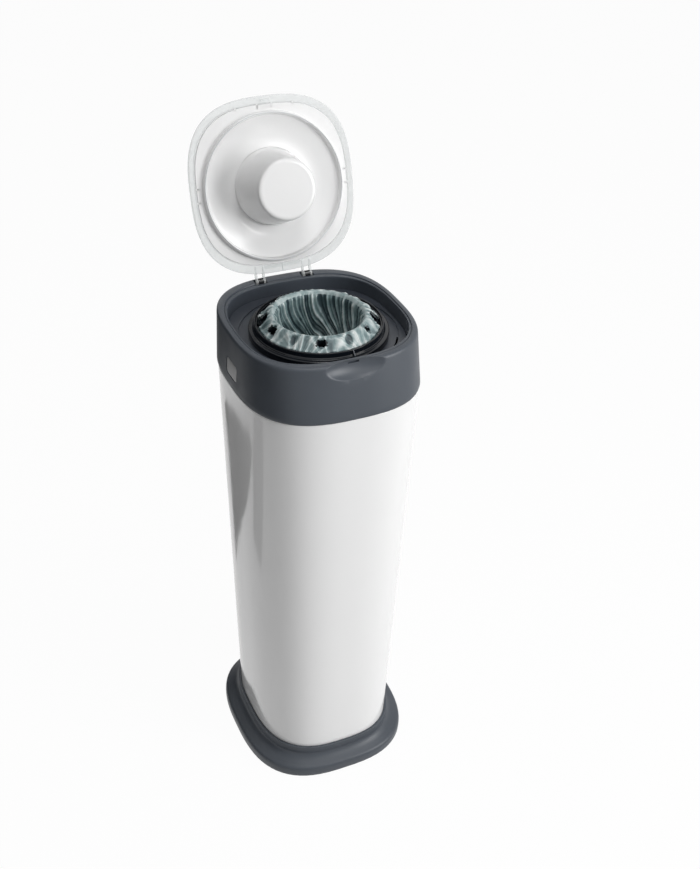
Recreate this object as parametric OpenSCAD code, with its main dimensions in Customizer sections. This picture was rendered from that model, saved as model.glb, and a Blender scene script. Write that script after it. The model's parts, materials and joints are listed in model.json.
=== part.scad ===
// Nappy bin: a tapered tub on a flared plinth, with a lift-off head that carries
// a turning film cassette, a film gripper, a cutter and a hinged lid.
// Millimetres, +Z up, front towards -Y, origin on the floor under the tub's centre.

/* [Overall] */
// Height of the head's top face above the floor
rim_z = 600; // [560:5:640]
// Squareness of the plan outline, 2 is an ellipse
corner_n = 2.8; // [2.4:0.1:3.2]
// Seam and slip gap between neighbouring shells
seam = 0.4; // [0.3:0.1:0.6]

/* [Tub] */
// Width of the tub at its top edge
tub_top_w = 206.6; // [200:0.5:207]
// Depth of the tub at its top edge
tub_top_d = 224.4; // [216:0.5:225]
// Width of the tub where it enters the plinth
tub_base_w = 172.8; // [160:0.5:180]
// Depth of the tub where it enters the plinth
tub_base_d = 202.4; // [190:0.5:208]
// Wall of the tub
tub_wall = 2.6; // [2:0.1:3.4]
// Floor of the tub
tub_floor = 3; // [2.4:0.1:5]
// Height of the spigot that enters the head
spigot_h = 12.6; // [11:0.1:13]

/* [Plinth] */
// Width of the plinth at the floor
plinth_w = 214.4; // [204:0.5:230]
// Depth of the plinth at the floor
plinth_d = 237; // [228:0.5:252]
// Height of the collar round the tub
plinth_h = 36; // [33:0.5:44]
// Height of the rounded outer edge
plinth_edge_h = 14; // [12:0.5:18]
// Wall of the collar
collar_wall = 2.8; // [2:0.1:4]
// Thickness of the ribs underneath
rib_t = 2.4; // [1.8:0.1:4]
// Thickness of the plinth's wall round the hollow underneath
plinth_wall = 2.4; // [2:0.1:3.2]
// Height of the rubber ring between the plinth's edge and the floor
foot_drop = 1.2; // [0.8:0.1:2.5]
// Diameter of a plinth screw
screw_d = 4; // [3:0.1:5]

/* [Head] */
// Height of the head
head_h = 63; // [60:0.5:68]
// How far the head's lower edge stands out past the tub
head_overhang = 1.1; // [0.8:0.1:2]
// How far each side wall leans in over the head's height
side_rake = 2.7; // [1:0.1:4]
// How far the front wall leans back over the head's height
front_rake = 11.6; // [8:0.1:13]
// Wall of the head's skirt
head_wall = 2.6; // [2:0.1:3]
// Width of the rim at the sides, from the outside to the opening
rim_side = 8.9; // [8:0.1:9.5]
// Width of the rim at the front
rim_front = 11.8; // [11:0.1:12.4]
// Width of the rim at the back, where the hinge sits
rim_back = 19; // [18:0.1:19.6]
// Radius of the rim's outer edge
rim_radius = 3.6; // [2:0.1:4.5]
// Depth of the step line round the rim
groove_depth = 1; // [0.6:0.1:1.6]
// Depth of the sunk deck below the rim
deck_depth = 16; // [14:0.5:17]
// Thickness of the deck
deck_t = 3.5; // [2.5:0.1:4]
// Flat deck left at each side between the round well and the rim
well_margin = 4.8; // [3:0.1:6]
// Depth of the round well
well_depth = 1.4; // [0.8:0.1:2]
// Half length of the finger scoop in the front
scoop_half = 41.5; // [34:0.5:44]
// Radius of the finger scoop at its middle
scoop_r = 16.2; // [14:0.1:17]

/* [Cassette] */
// Distance of the cassette's axis in front of the tub's centre
ring_forward = 2; // [0:0.5:3]
// Gap between the well's edge and the carousel's flange
well_gap = 10.8; // [9:0.1:12]
// Width of the carousel's flange outside its top rim
flange_w = 6.2; // [5.5:0.1:7.5]
// Height of the carousel's top rim above the deck
carousel_rise = 13.6; // [11:0.1:15]
// Depth of the film cassette
cassette_depth = 40; // [36:0.5:42]
// Wall of the cassette and the carousel
cassette_wall = 1.5; // [1.2:0.1:1.8]
// Width of the crown, from the carousel's rim in to the throat
crown_w = 19.2; // [18:0.1:20.5]
// Height of the crown's lip above the carousel's rim
lip_rise = 10.4; // [8:0.1:11]
// Number of petals round the crown
petals = 12; // [8:1:14]
// Radius of an opening between two petals
notch_r = 4.6; // [3.5:0.1:5]
// Thickness of the liner film's solid
film_t = 0.8; // [0.6:0.1:1.2]
// Radius of the twisted film under the gripper
tail_r = 12.5; // [10:0.1:14]
// Length of the tied film under the throat
tail_len = 55; // [50:0.5:58]
// Teeth of the ratchet ring
ratchet_teeth = 36; // [24:1:48]

/* [Gripper and cutter] */
// Number of gripper fingers
fingers = 12; // [8:1:16]
// Thickness of a gripper finger
finger_t = 1.6; // [1.2:0.1:2.2]
// Travel of the film cutter
cutter_travel = 72; // [60:1:76]
// Depth of the cutter frame's rails
rail_h = 7; // [6:0.5:9]

/* [Buttons] */
// Width of a release button
button_w = 30; // [26:0.5:34]
// Height of a release button
button_h = 19; // [16:0.5:20]
// How far the buttons sit in front of the middle
button_forward = 6; // [0:0.5:10]
// Travel of a release button
button_travel = 4; // [3:0.1:4.5]

/* [Lid] */
// Angle at which the open lid leans on its stop
open_angle = 107.5; // [95:0.5:112]
// Distance of the hinge axis from the head's back
hinge_inset = 11.9; // [11:0.1:13]
// Height of the hinge axis above the rim
hinge_rise = 0.5; // [0:0.1:1]
// Half distance between the two hinges
hinge_x = 28.6; // [24:0.2:34]
// Radius of the lid's axle
axle_r = 1.6; // [1.2:0.1:2]
// Distance from the hinge axis to the lid's edge
hinge_reach = 6.9; // [6:0.1:8]
// Width of the lid's clear border at the sides
border_side = 7.2; // [6:0.1:9]
// Width of the border at the front
border_front = 8.7; // [7:0.1:10]
// Width of the border at the back
border_back = 10.1; // [8:0.1:12]
// Thickness of the lid's cover
cover_t = 2.2; // [1.6:0.1:2.6]
// Height of the lid's dome above the rim
dome_h = 17.6; // [17:0.1:24]
// Flat plate left at each side between the ridge and the border
ridge_margin = 8.5; // [7:0.1:10]
// Depth of the ridge
ridge_h = 5.2; // [4:0.1:6.4]
// Thickness of the lid's liner
liner_t = 1.8; // [1.4:0.1:2.2]
// Room round the plunger's root in the throat
plunger_gap = 9.8; // [8.5:0.1:12]
// How much narrower the plunger is at its end than at its root
plunger_taper = 8.4; // [6:0.1:12]
// How far the plunger reaches below the rim
plunger_reach = 44; // [38:0.5:46]

/* [Hidden] */

$fn = 96;
plan_segs = 72;
eps = 0.01;

charcoal = "#53575c";
charcoal_deck = "#4a4e54";
black = "#15181d";
white = "#f0f0f0";
grey = "#97979a";
clear_white = "#e3e5e7";
film_green = "#c4d4d2";
steel = "#b9bcc0";
spring_steel = "#8d9095";
rubber = "#26272a";

// Levels
head_z = rim_z - head_h;
tub_top_z = head_z - seam;
spigot_z = head_z + spigot_h;
plinth_floor_z = 12;
tub_z = plinth_floor_z + seam;
tub_floor_z = tub_z + tub_floor;
deck_z = rim_z - deck_depth;
deck_low_z = deck_z - deck_t;
block_z = deck_low_z - 6.5;
rim_z_top = deck_z + carousel_rise;
lip_z = rim_z_top + lip_rise;
cassette_z = rim_z_top - 1.5 - cassette_depth;
carousel_low_z = cassette_z - 0.2 - cassette_wall * 2;
housing_floor_t = 2.5;
housing_low_z = carousel_low_z - 2.6 - housing_floor_t;
ring_y = -ring_forward;

// Widths that follow the tub's top
head_bottom_w = tub_top_w + 2 * head_overhang;
head_bottom_d = tub_top_d + 2 * head_overhang;
head_top_w = head_bottom_w - 2 * side_rake;
well_r = min(head_top_w / 2 - rim_side - well_margin,
    head_bottom_d / 2 - front_rake - rim_front - ring_forward + 0.1);
flange_r = well_r - well_gap;
carousel_r = flange_r - flange_w;
lip_r = carousel_r - crown_w;
plunger_root_r = lip_r - plunger_gap;
plunger_r = plunger_root_r - plunger_taper;
ridge_r = head_top_w / 2 - 4.5 - border_side - ridge_margin - (head_top_w / 2 - rim_side - well_margin - well_r);

// Plan outline of one level, from its half width and its front and back
function bulge(c) = sign(c) * pow(abs(c), 2 / corner_n);
function outline2(hx, yf, yb) = [
    for (i = [0 : plan_segs - 1])
        let (a = 360 * (i + 0.5) / plan_segs)
        [hx * bulge(cos(a)), (yf + yb) / 2 + (yb - yf) / 2 * bulge(sin(a))]
];
function outline(hx, yf, yb, z) = [for (p = outline2(hx, yf, yb)) [p[0], p[1], z]];

// Skin through a list of outlines, shut at both ends or joined into a loop
module loft(rings, loop = false) {
    n = plan_segs;
    k = len(rings);
    sides = [
        for (j = [0 : loop ? k - 1 : k - 2], i = [0 : n - 1])
            let (a = j * n + i, b = j * n + (i + 1) % n,
                 c = ((j + 1) % k) * n + i, d = ((j + 1) % k) * n + (i + 1) % n)
            each [[a, c, d], [a, d, b]]
    ];
    ends = loop ? [] : [[for (i = [0 : n - 1]) i], [for (i = [0 : n - 1]) k * n - 1 - i]];
    polyhedron([for (r = rings) each r], concat(sides, ends), convexity = 8);
}

module round_body() {
    translate([0, ring_y, 0]) rotate_extrude() children();
}

// Bar with a flat outline, laid along X between two stations
module bar_x(x0, x1) {
    translate([x0, 0, 0]) rotate([90, 0, 90]) linear_extrude(x1 - x0) children();
}

function corner_arc(x, y, r, a0) = [for (a = [a0 : 15 : a0 + 90]) [x + r * cos(a), y + r * sin(a)]];
function soft_box(w, h, r) = concat(
    corner_arc(w / 2 - r, h / 2 - r, r, 0), corner_arc(r - w / 2, h / 2 - r, r, 90),
    corner_arc(r - w / 2, r - h / 2, r, 180), corner_arc(w / 2 - r, r - h / 2, r, 270));

// Tub
function tub_t(z) = (z - plinth_h) / (tub_top_z - plinth_h);
function tub_hx(z) = (tub_base_w + (tub_top_w - tub_base_w) * tub_t(z)) / 2;
function tub_hy(z) = (tub_base_d + (tub_top_d - tub_base_d) * tub_t(z)) / 2;
function tub_ring(z, inset) = outline(tub_hx(z) - inset, inset - tub_hy(z), tub_hy(z) - inset, z);

// Head
function head_t(z) = (z - head_z) / head_h;
function head_hx(z) = (head_bottom_w + (head_top_w - head_bottom_w) * head_t(z)) / 2;
function head_front(z) = front_rake * head_t(z) - head_bottom_d / 2;
function head_back(z) = head_bottom_d / 2;
function head_ring(z, inset) =
    outline(head_hx(z) - inset, head_front(z) + inset, head_back(z) - inset, z);
function rim_ring(z, side, front, back) =
    outline(head_hx(rim_z) - side, head_front(rim_z) + front, head_back(rim_z) - back, z);

// Spigot of the tub, which follows the inside of the head's skirt
spigot_wall = 2.3;
function spigot_ring(z, inset) = head_ring(z, head_wall + seam + inset);

// Release latches
button_z = head_z + 13.4 + button_h / 2;
button_y = -button_forward;
cap_t = 2.4;
nose_top_z = head_z + 4.6;
nose_h = 4;
nose_gap = 0.5;
wall_slack = 1.2;
arm_w = 16;
arm_t = 2.4;
// Outer face of the latch arm, inside the spigot
arm_x = head_hx(spigot_z) - head_wall - seam - spigot_wall - 3.2;
window_gap = 0.5;
guide_half = button_w / 2 + 4;
guide_back = arm_x - arm_t - button_travel - 5.4;

// Hinge
hinge_y = head_back(rim_z) - hinge_inset;
hinge_z = rim_z + hinge_rise;
arm_in = 3.4;
arm_out = 5.6;
boss_r = 3;
heel = 4.9;
clip_ring_r = 3.4;
pocket_half = 7.4;
pocket_front = hinge_y - 4.5;
pocket_back = hinge_y + 6.3;
pocket_z = hinge_z - 10.5;

// Lid, in its closed place
lid_z = rim_z + 0.5;
lid_hx = head_hx(rim_z) - 4.5;
lid_front = head_front(rim_z);
lid_back = hinge_y - hinge_reach;
border_t = 4.2;
border_gap = 0.6;
liner_z = lid_z + 1;
function lid_ring(inset, z) = outline(lid_hx - inset, lid_front + inset, lid_back - inset, z);
function border_ring(gap, z) =
    outline(lid_hx - border_side + gap, lid_front + border_front - gap, lid_back - border_back + gap, z);
function dome_ring(f, z) =
    outline(lid_hx * f, (lid_front + lid_back) / 2 - (lid_back - lid_front) / 2 * f,
        (lid_front + lid_back) / 2 + (lid_back - lid_front) / 2 * f, z);

module opened() {
    translate([0, hinge_y, hinge_z]) rotate([-open_angle, 0, 0])
        translate([0, -hinge_y, -hinge_z]) children();
}

// Screws
plinth_screw_at = [for (sx = [-1, 1], sy = [-1, 1]) [sx * tub_base_w * 0.3, sy * tub_base_d * 0.32]];
housing_flange_r = well_r + 11;
head_screw_at = [[well_r + 4, 0], [well_r + 7.5, 90], [well_r + 4, 180], [well_r + 4, 270]];
deck_screw_r = well_r;
small_screw_d = 3;
flange_t = 2.6;
plinth_boss_h = 12;

module screw(d, z_head, z_tip) {
    translate([0, 0, z_head]) cylinder(d = d * 1.9, h = d * 0.6);
    translate([0, 0, z_head]) cylinder(d = d, h = z_tip - z_head);
}

module tub() {
    color(white) difference() {
        union() {
            loft([
                tub_ring(tub_z, 2.4),
                tub_ring(tub_z + 2.4, 0),
                tub_ring(tub_top_z - 1, 0),
                tub_ring(tub_top_z, 0.8),
                outline(head_hx(tub_top_z) - head_wall - seam, head_front(tub_top_z) + head_wall + seam,
                    head_back(tub_top_z) - head_wall - seam, tub_top_z),
                spigot_ring(spigot_z - 1, 0),
                spigot_ring(spigot_z, 0.8),
                spigot_ring(spigot_z, spigot_wall),
                spigot_ring(head_z, spigot_wall),
                tub_ring(tub_top_z - 12, tub_wall),
                tub_ring(tub_floor_z + 4, tub_wall),
                tub_ring(tub_floor_z, tub_wall + 4)
            ]);
            for (p = plinth_screw_at) translate([p[0], p[1], tub_floor_z - eps])
                cylinder(r = screw_d * 1.2, h = plinth_boss_h);
        }
        for (p = plinth_screw_at) translate([p[0], p[1], tub_z - 1])
            cylinder(d = screw_d + 0.02, h = tub_floor + plinth_boss_h - 1);
        for (s = [-1, 1])
            translate([s * (head_hx(head_z) - 5), button_y, nose_top_z + window_gap - (nose_h + 2 * window_gap) / 2])
                cube([14, arm_w + 2, nose_h + 2 * window_gap], center = true);
    }
}

// The plinth's profile: how far it stands out from the collar, as a part of the whole, and its height
function flare(t) = pow(1 - t, 2.4);
collar_hx = tub_hx(plinth_h) + seam + collar_wall;
collar_hy = tub_hy(plinth_h) + seam + collar_wall;
plinth_out_x = plinth_w / 2 - collar_hx;
plinth_out_y = plinth_d / 2 - collar_hy;
function plinth_ring(f, z) = outline(collar_hx + plinth_out_x * f,
    -collar_hy - plinth_out_y * f, collar_hy + plinth_out_y * f, z);
function plinth_plan(inset) = outline2(plinth_w / 2 - inset, inset - plinth_d / 2, plinth_d / 2 - inset);
ring_w = 7;
ring_wall = 2;
ring_seat = 0.9 + plinth_wall;

module plinth() {
    flare_top = plinth_h - 8;
    floor_low_z = plinth_floor_z - plinth_wall;
    thin = plinth_wall / plinth_out_x;
    color(charcoal) difference() {
        loft([
            plinth_ring(0.955, foot_drop),
            plinth_ring(0.985, foot_drop + 1.4),
            plinth_ring(1, plinth_edge_h * 0.5),
            plinth_ring(0.985, plinth_edge_h * 0.82),
            plinth_ring(0.91, plinth_edge_h),
            for (t = [0.12 : 0.22 : 0.9])
                plinth_ring(0.86 * flare(t), plinth_edge_h + (flare_top - plinth_edge_h) * t + 1),
            plinth_ring(0.02, flare_top + 1.5),
            plinth_ring(0, plinth_h - 0.8),
            plinth_ring(-0.04, plinth_h),
            tub_ring(plinth_h, -seam),
            tub_ring(tub_z + 2.4, -seam),
            tub_ring(plinth_floor_z, -seam)
        ]);
        // Ribbed hollow underneath, which runs up under the flare
        difference() {
            loft([
                plinth_ring(1 - thin * 1.2, -1),
                plinth_ring(1 - thin, plinth_edge_h * 0.45),
                plinth_ring(0.97 - thin, plinth_edge_h * 0.74),
                plinth_ring(0.58, plinth_edge_h + 0.2),
                plinth_ring(0.26, plinth_edge_h + 3.4),
                plinth_ring(0.02, plinth_edge_h + 6.4),
                plinth_ring(0, floor_low_z)
            ]);
            difference() {
                union() for (s = [-1, 1]) {
                    translate([s * plinth_w / 6 - rib_t / 2, -plinth_d / 2, -2])
                        cube([rib_t, plinth_d, plinth_h]);
                    translate([-plinth_w / 2, s * plinth_d / 6 - rib_t / 2, -2])
                        cube([plinth_w, rib_t, plinth_h]);
                }
                // Room for the foot ring's wall
                translate([0, 0, -3]) linear_extrude(foot_drop + ring_seat + 4) difference() {
                    polygon(plinth_plan(0));
                    polygon(plinth_plan(ring_w + 2.2));
                }
            }
            for (p = plinth_screw_at) translate([p[0], p[1], -2]) cylinder(d = screw_d + 6, h = plinth_h);
        }
        for (p = plinth_screw_at) {
            translate([p[0], p[1], -2]) cylinder(d = screw_d * 2.1, h = plinth_floor_z - 1.2);
            translate([p[0], p[1], -2]) cylinder(d = screw_d + 0.4, h = plinth_h);
        }
    }
}

// Non-slip rubber ring: a flat lip under the plinth's edge and a wall inside it
module foot_ring() {
    wall_out = plinth_wall * 1.2 + 0.3;
    color(rubber) {
        linear_extrude(foot_drop) difference() {
            polygon(plinth_plan(1.2));
            polygon(plinth_plan(1.2 + ring_w));
        }
        translate([0, 0, foot_drop - eps]) linear_extrude(ring_seat) difference() {
            polygon(plinth_plan(wall_out));
            polygon(plinth_plan(wall_out + ring_wall));
        }
    }
}

module plinth_screws() {
    color(steel) for (p = plinth_screw_at) translate([p[0], p[1], 0])
        screw(screw_d, plinth_floor_z - 3.2 - screw_d * 0.6, tub_floor_z + plinth_boss_h * 0.75);
}

// Solid cut for the finger scoop, a long ellipsoid that lies along the front edge
scoop_wall = 4.4;
scoop_y = head_front(rim_z) + rim_front - scoop_wall - scoop_r;
scoop_z = rim_z - 3;
module scoop() {
    translate([0, scoop_y, scoop_z]) rotate([0, 90, 0]) rotate_extrude()
        polygon([for (a = [-90 : 9 : 90]) [scoop_r * cos(a), scoop_half * sin(a)]]);
}

module button_window(extra) {
    translate([0, button_y, button_z]) rotate([90, 0, 90])
        linear_extrude(30) polygon(soft_box(button_w + 2 * extra, button_h + 2 * extra, 4.5));
}

// Slit for the lid's catch, high in the back of the scoop
slit_z = rim_z - 4.1;
slit_h = 2.4;
slit_half = 6.2;
function scoop_back(z) = scoop_y + sqrt(pow(scoop_r, 2) - pow(z - scoop_z, 2));
module head_shell() {
    color(charcoal) difference() {
        loft([
            head_ring(head_z, 0.8),
            head_ring(head_z + 1, 0),
            head_ring(rim_z - rim_radius - 4, 0),
            head_ring(rim_z - rim_radius, 0),
            head_ring(rim_z - rim_radius * 0.5, rim_radius * 0.13),
            head_ring(rim_z - rim_radius * 0.13, rim_radius * 0.5),
            head_ring(rim_z, rim_radius),
            rim_ring(rim_z, rim_side - 2.6, rim_front - 5.8, rim_back - 7),
            rim_ring(rim_z - groove_depth, rim_side - 2.2, rim_front - 5.4, rim_back - 6.6),
            rim_ring(rim_z - groove_depth - 0.3, rim_side - 0.6, rim_front - 0.6, rim_back - 0.6),
            rim_ring(rim_z - groove_depth - 1.4, rim_side, rim_front, rim_back),
            rim_ring(deck_low_z, rim_side + 1, rim_front + 1, rim_back + 1),
            rim_ring(deck_low_z, rim_side + 5, rim_front + 5, rim_back + 5),
            rim_ring(block_z, rim_side + 5, rim_front + 5, rim_back + 5),
            head_ring(block_z, head_wall),
            head_ring(head_z, head_wall)
        ], loop = true);
        scoop();
        translate([-slit_half, scoop_back(slit_z) - 3, slit_z]) cube([2 * slit_half, 4.9, slit_h]);
        for (s = [-1, 1])
            translate([s * hinge_x - pocket_half, pocket_front, pocket_z])
                cube([2 * pocket_half, pocket_back - pocket_front, 20]);
        translate([head_hx(button_z) - 15, 0, 0]) button_window(window_gap);
        mirror([1, 0, 0]) translate([head_hx(button_z) - 15, 0, 0]) button_window(window_gap);
        for (p = head_screw_at) translate([0, ring_y, 0]) rotate(p[1])
            translate([p[0], 0, block_z - 1]) cylinder(d = small_screw_d + 0.02, h = small_screw_d * 3);
    }
}

carousel_wall_r = carousel_r + 3.4;
deck_bore_r = carousel_wall_r + 0.7;
module deck() {
    z = deck_low_z;
    color(charcoal_deck) difference() {
        union() {
            translate([0, 0, z]) linear_extrude(deck_t) polygon(outline2(
                head_hx(rim_z) - rim_side - 1 - seam, head_front(rim_z) + rim_front + 1 + seam,
                head_back(rim_z) - rim_back - 1 - seam));
            for (a = [45 : 90 : 315]) translate([0, ring_y, 0]) rotate(a)
                translate([deck_screw_r, 0, block_z]) cylinder(r = 3.6, h = z - block_z + 1);
        }
        translate([0, ring_y, z - 1]) cylinder(r = deck_bore_r, h = deck_t + 2);
        translate([0, ring_y, deck_z - well_depth]) cylinder(r = well_r, h = well_depth + 1);
        // Crescent slots at the ends of the well's front arc
        for (a = [-46, -152]) translate([0, ring_y, z - 1]) rotate(a)
            rotate_extrude(angle = 18) translate([well_r - 2.6, 0]) square([2.2, deck_t + 2]);
        for (a = [45 : 90 : 315]) translate([0, ring_y, 0]) rotate(a)
            translate([deck_screw_r, 0, block_z - 1]) cylinder(d = small_screw_d + 0.02, h = 8.4);
    }
}

module gripper_housing() {
    wall_in = carousel_wall_r + 4.6;
    throat = lip_r - 4;
    z = housing_low_z;
    through = small_screw_d * 3;
    color(charcoal_deck) difference() {
        round_body() polygon([
            [throat, z], [wall_in + 2, z], [wall_in + 2, block_z - flange_t], [housing_flange_r, block_z - flange_t],
            [housing_flange_r, block_z], [wall_in, block_z], [wall_in, z + housing_floor_t],
            [throat, z + housing_floor_t]
        ]);
        for (p = head_screw_at) translate([0, ring_y, 0]) rotate(p[1])
            translate([p[0], 0, block_z - flange_t * 2]) cylinder(d = small_screw_d + 0.3, h = through);
        for (a = [45 : 90 : 315]) translate([0, ring_y, 0]) rotate(a)
            translate([deck_screw_r, 0, block_z - flange_t * 2]) cylinder(d = small_screw_d + 0.3, h = through);
        for (a = [45 : 90 : 315]) translate([0, ring_y, 0]) rotate(a)
            translate([frame_screw_r, 0, z - 1]) cylinder(d = small_screw_d + 0.3, h = through);
    }
}

module head_screws() {
    color(steel) for (p = head_screw_at) translate([0, ring_y, 0]) rotate(p[1])
        translate([p[0], 0, 0])
            screw(small_screw_d, block_z - flange_t - small_screw_d * 0.6, block_z + small_screw_d * 2);
}

module deck_screws() {
    color(steel) for (a = [45 : 90 : 315]) translate([0, ring_y, 0]) rotate(a)
        translate([deck_screw_r, 0, 0])
            screw(small_screw_d, block_z - flange_t - small_screw_d * 0.6, block_z + small_screw_d * 2);
}

// Flexible fingers that close on the film's tail under the throat
grip_t = 2;
grip_z = housing_low_z - grip_t;
frame_screw_r = lip_r + 3.4;
function finger_line(t) = let (a = 90 * t) [
    lip_r - 7 - (lip_r - 7 - tail_r - 2.4 - finger_t / 2) * sin(a * 0.98),
    grip_z + grip_t / 2 - (tail_len * 0.34) * (1 - cos(a))
];
module gripper() {
    steps = 7;
    // Flat profile of one finger, thin and curving down to the tail
    over = [for (i = [0 : steps]) finger_line(i / steps) + [0, finger_t / 2]];
    under = [for (i = [steps : -1 : 0]) finger_line(i / steps) - [finger_t * 0.35, finger_t / 2]];
    color(black) difference() {
        union() {
            round_body() translate([lip_r - 9, grip_z]) square([15.5, grip_t]);
            for (k = [0 : fingers - 1]) translate([0, ring_y, 0])
                rotate(360 * (k + 0.5) / fingers - 130 / fingers)
                    rotate_extrude(angle = 260 / fingers) polygon(concat(over, under));
        }
        for (a = [45 : 90 : 315]) translate([0, ring_y, 0]) rotate(a)
            translate([frame_screw_r, 0, grip_z - 1]) cylinder(d = small_screw_d + 0.3, h = small_screw_d * 3);
    }
}

// Cutter frame: a clamping ring, four posts and two grooved rails
rail_y = 25;
rail_w = 6;
rail_half = cutter_travel / 2 + 15;
rail_low_z = grip_z - tail_len + 3;
rail_top_z = rail_low_z + rail_h;
frame_ring_z = grip_z - 3;
groove_w = 2.4;
module cutter_frame() {
    color(charcoal_deck) translate([0, ring_y, 0]) difference() {
        union() {
            translate([0, 0, frame_ring_z]) difference() {
                cylinder(r = lip_r + 7, h = 3);
                translate([0, 0, -1]) cylinder(r = lip_r - 6, h = 5);
            }
            for (sx = [-1, 1], sy = [-1, 1])
                translate([sx * (rail_half - 4), sy * (rail_y + rail_w / 2), rail_low_z + 1])
                    cylinder(r = 3, h = frame_ring_z - rail_low_z);
            translate([0, 0, rail_low_z]) linear_extrude(rail_h) difference() {
                polygon(soft_box(2 * rail_half, 2 * (rail_y + rail_w), 5));
                polygon(soft_box(2 * rail_half - 8, 2 * rail_y, 3));
            }
        }
        // Running grooves in the rails
        for (s = [-1, 1])
            translate([-rail_half + 4, s * (rail_y + 1) - 1.5, rail_low_z + rail_h / 2 - groove_w / 2])
                cube([2 * rail_half - 8, 3, groove_w]);
        for (a = [45 : 90 : 315]) rotate(a)
            translate([frame_screw_r, 0, frame_ring_z - 1]) cylinder(d = small_screw_d + 0.3, h = small_screw_d * 3);
    }
}

module frame_screws() {
    color(steel) for (a = [45 : 90 : 315]) translate([0, ring_y, 0]) rotate(a)
        translate([frame_screw_r, 0, 0])
            screw(small_screw_d, frame_ring_z - small_screw_d * 0.6, housing_low_z + housing_floor_t);
}

// Cutter carriage, parked at the left end of its rails
park_x = -cutter_travel / 2;
carriage_l = 16;
slip = 0.3;
carriage_h = rail_h - 2;
module cutter_carriage() {
    z = rail_low_z + 1;
    color(grey) translate([park_x, ring_y, 0]) difference() {
        union() {
            translate([0, 0, z]) linear_extrude(carriage_h)
                polygon(soft_box(carriage_l, 2 * (rail_y - slip), 2));
            for (s = [-1, 1])
                translate([-carriage_l / 2, s * (rail_y + 0.4) - 1, rail_low_z + rail_h / 2 - groove_w / 2 + slip])
                    cube([carriage_l, 2, groove_w - 2 * slip]);
            // Thumb grip underneath
            bar_x(-5, 5) polygon([[-9, z + 1], [-7, z - 6], [-5, z - 7.4], [5, z - 7.4], [7, z - 6], [9, z + 1]]);
        }
        translate([-3, -rail_y + 4, z + carriage_h - 0.8]) cube([carriage_l, 2 * rail_y - 8, 2]);
        for (s = [-1, 1]) translate([1, s * 14, z - 1]) cylinder(d = 2.02, h = 20);
    }
}

module cutter_blade() {
    z = rail_low_z + 1 + carriage_h - 0.8;
    // The edge stops short of the frame's end
    tip = rail_half - 4 - cutter_travel / 2 - 1;
    color(steel) translate([park_x, ring_y, z]) difference() {
        linear_extrude(0.6) polygon([
            [-2.6, 4.4 - rail_y], [tip - 3.4, 4.4 - rail_y], [tip, -11], [tip, 11], [tip - 3.4, rail_y - 4.4],
            [-2.6, rail_y - 4.4]
        ]);
        for (s = [-1, 1]) translate([1, s * 14, -1]) cylinder(d = 2.3, h = 3);
    }
}

module blade_screws() {
    z = rail_low_z + 1 + carriage_h - 0.2;
    color(steel) translate([park_x, ring_y, 0]) for (s = [-1, 1]) translate([1, s * 14, 0]) {
        translate([0, 0, z]) cylinder(d = 3.6, h = 0.9);
        translate([0, 0, z - 4]) cylinder(d = 2, h = 4.5);
    }
}

// Ratchet ring under the carousel and the pawl that clicks in it
ratchet_z = block_z - 12;
ratchet_h = 4;
tooth = 1.6;
ratchet_r = carousel_wall_r + 2.4;
module ratchet_ring() {
    color(black) translate([0, ring_y, ratchet_z]) difference() {
        linear_extrude(ratchet_h) polygon([
            for (k = [0 : ratchet_teeth - 1], e = [0, 1])
                let (a = 360 * (k + e * 0.8) / ratchet_teeth, r = ratchet_r - (e == 0 ? tooth : 0))
                [r * cos(a), r * sin(a)]
        ]);
        translate([0, 0, -1]) cylinder(r = carousel_wall_r + 0.02, h = ratchet_h + 2, $fn = 360);
    }
}

module click_pawl() {
    wall_in = carousel_wall_r + 4.6;
    // A thin leaf on a foot that is fixed inside the housing's wall
    color(grey) translate([0, ring_y, ratchet_z - 0.5]) rotate(200) {
        rotate_extrude(angle = 3) translate([wall_in - 1.6, 0]) square([1.6, 5]);
        rotate(-9) rotate_extrude(angle = 10) translate([wall_in - 1.6, 1]) square([0.9, 3]);
        rotate(-9) rotate_extrude(angle = 1) translate([ratchet_r + slip, 1])
            square([wall_in - ratchet_r - slip - 0.8, 3]);
    }
}

// Snap clip of one hinge, which holds the lid's axle
module hinge_clip(side) {
    base_top = hinge_z - heel - 0.6;
    color(black) translate([side * hinge_x, 0, 0]) difference() {
        union() {
            bar_x(-pocket_half + seam, pocket_half - seam) polygon([
                [pocket_front + seam, pocket_z + 0.1], [pocket_back - seam, pocket_z + 0.1],
                [pocket_back - seam, base_top], [pocket_front + 1.7, base_top],
                [pocket_front + 1.7, base_top + 2.2], [pocket_front + seam, base_top + 2.2]
            ]);
            bar_x(-arm_in + slip, arm_in - slip) union() {
                translate([hinge_y, hinge_z]) circle(r = clip_ring_r);
                translate([hinge_y - 2.6, base_top - 1]) square([5.2, hinge_z - base_top + 1]);
            }
        }
        translate([-2 * pocket_half, hinge_y, hinge_z]) rotate([0, 90, 0])
            cylinder(r = axle_r + 0.08, h = 4 * pocket_half);
        // Mouth through which the axle snaps in
        translate([-2 * pocket_half, hinge_y, hinge_z]) rotate([30, 0, 0])
            translate([0, -axle_r * 0.8, 0]) cube([4 * pocket_half, axle_r * 1.6, 3 * clip_ring_r]);
    }
}
module hinge_clip_left() { hinge_clip(-1); }
module hinge_clip_right() { hinge_clip(1); }

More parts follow.
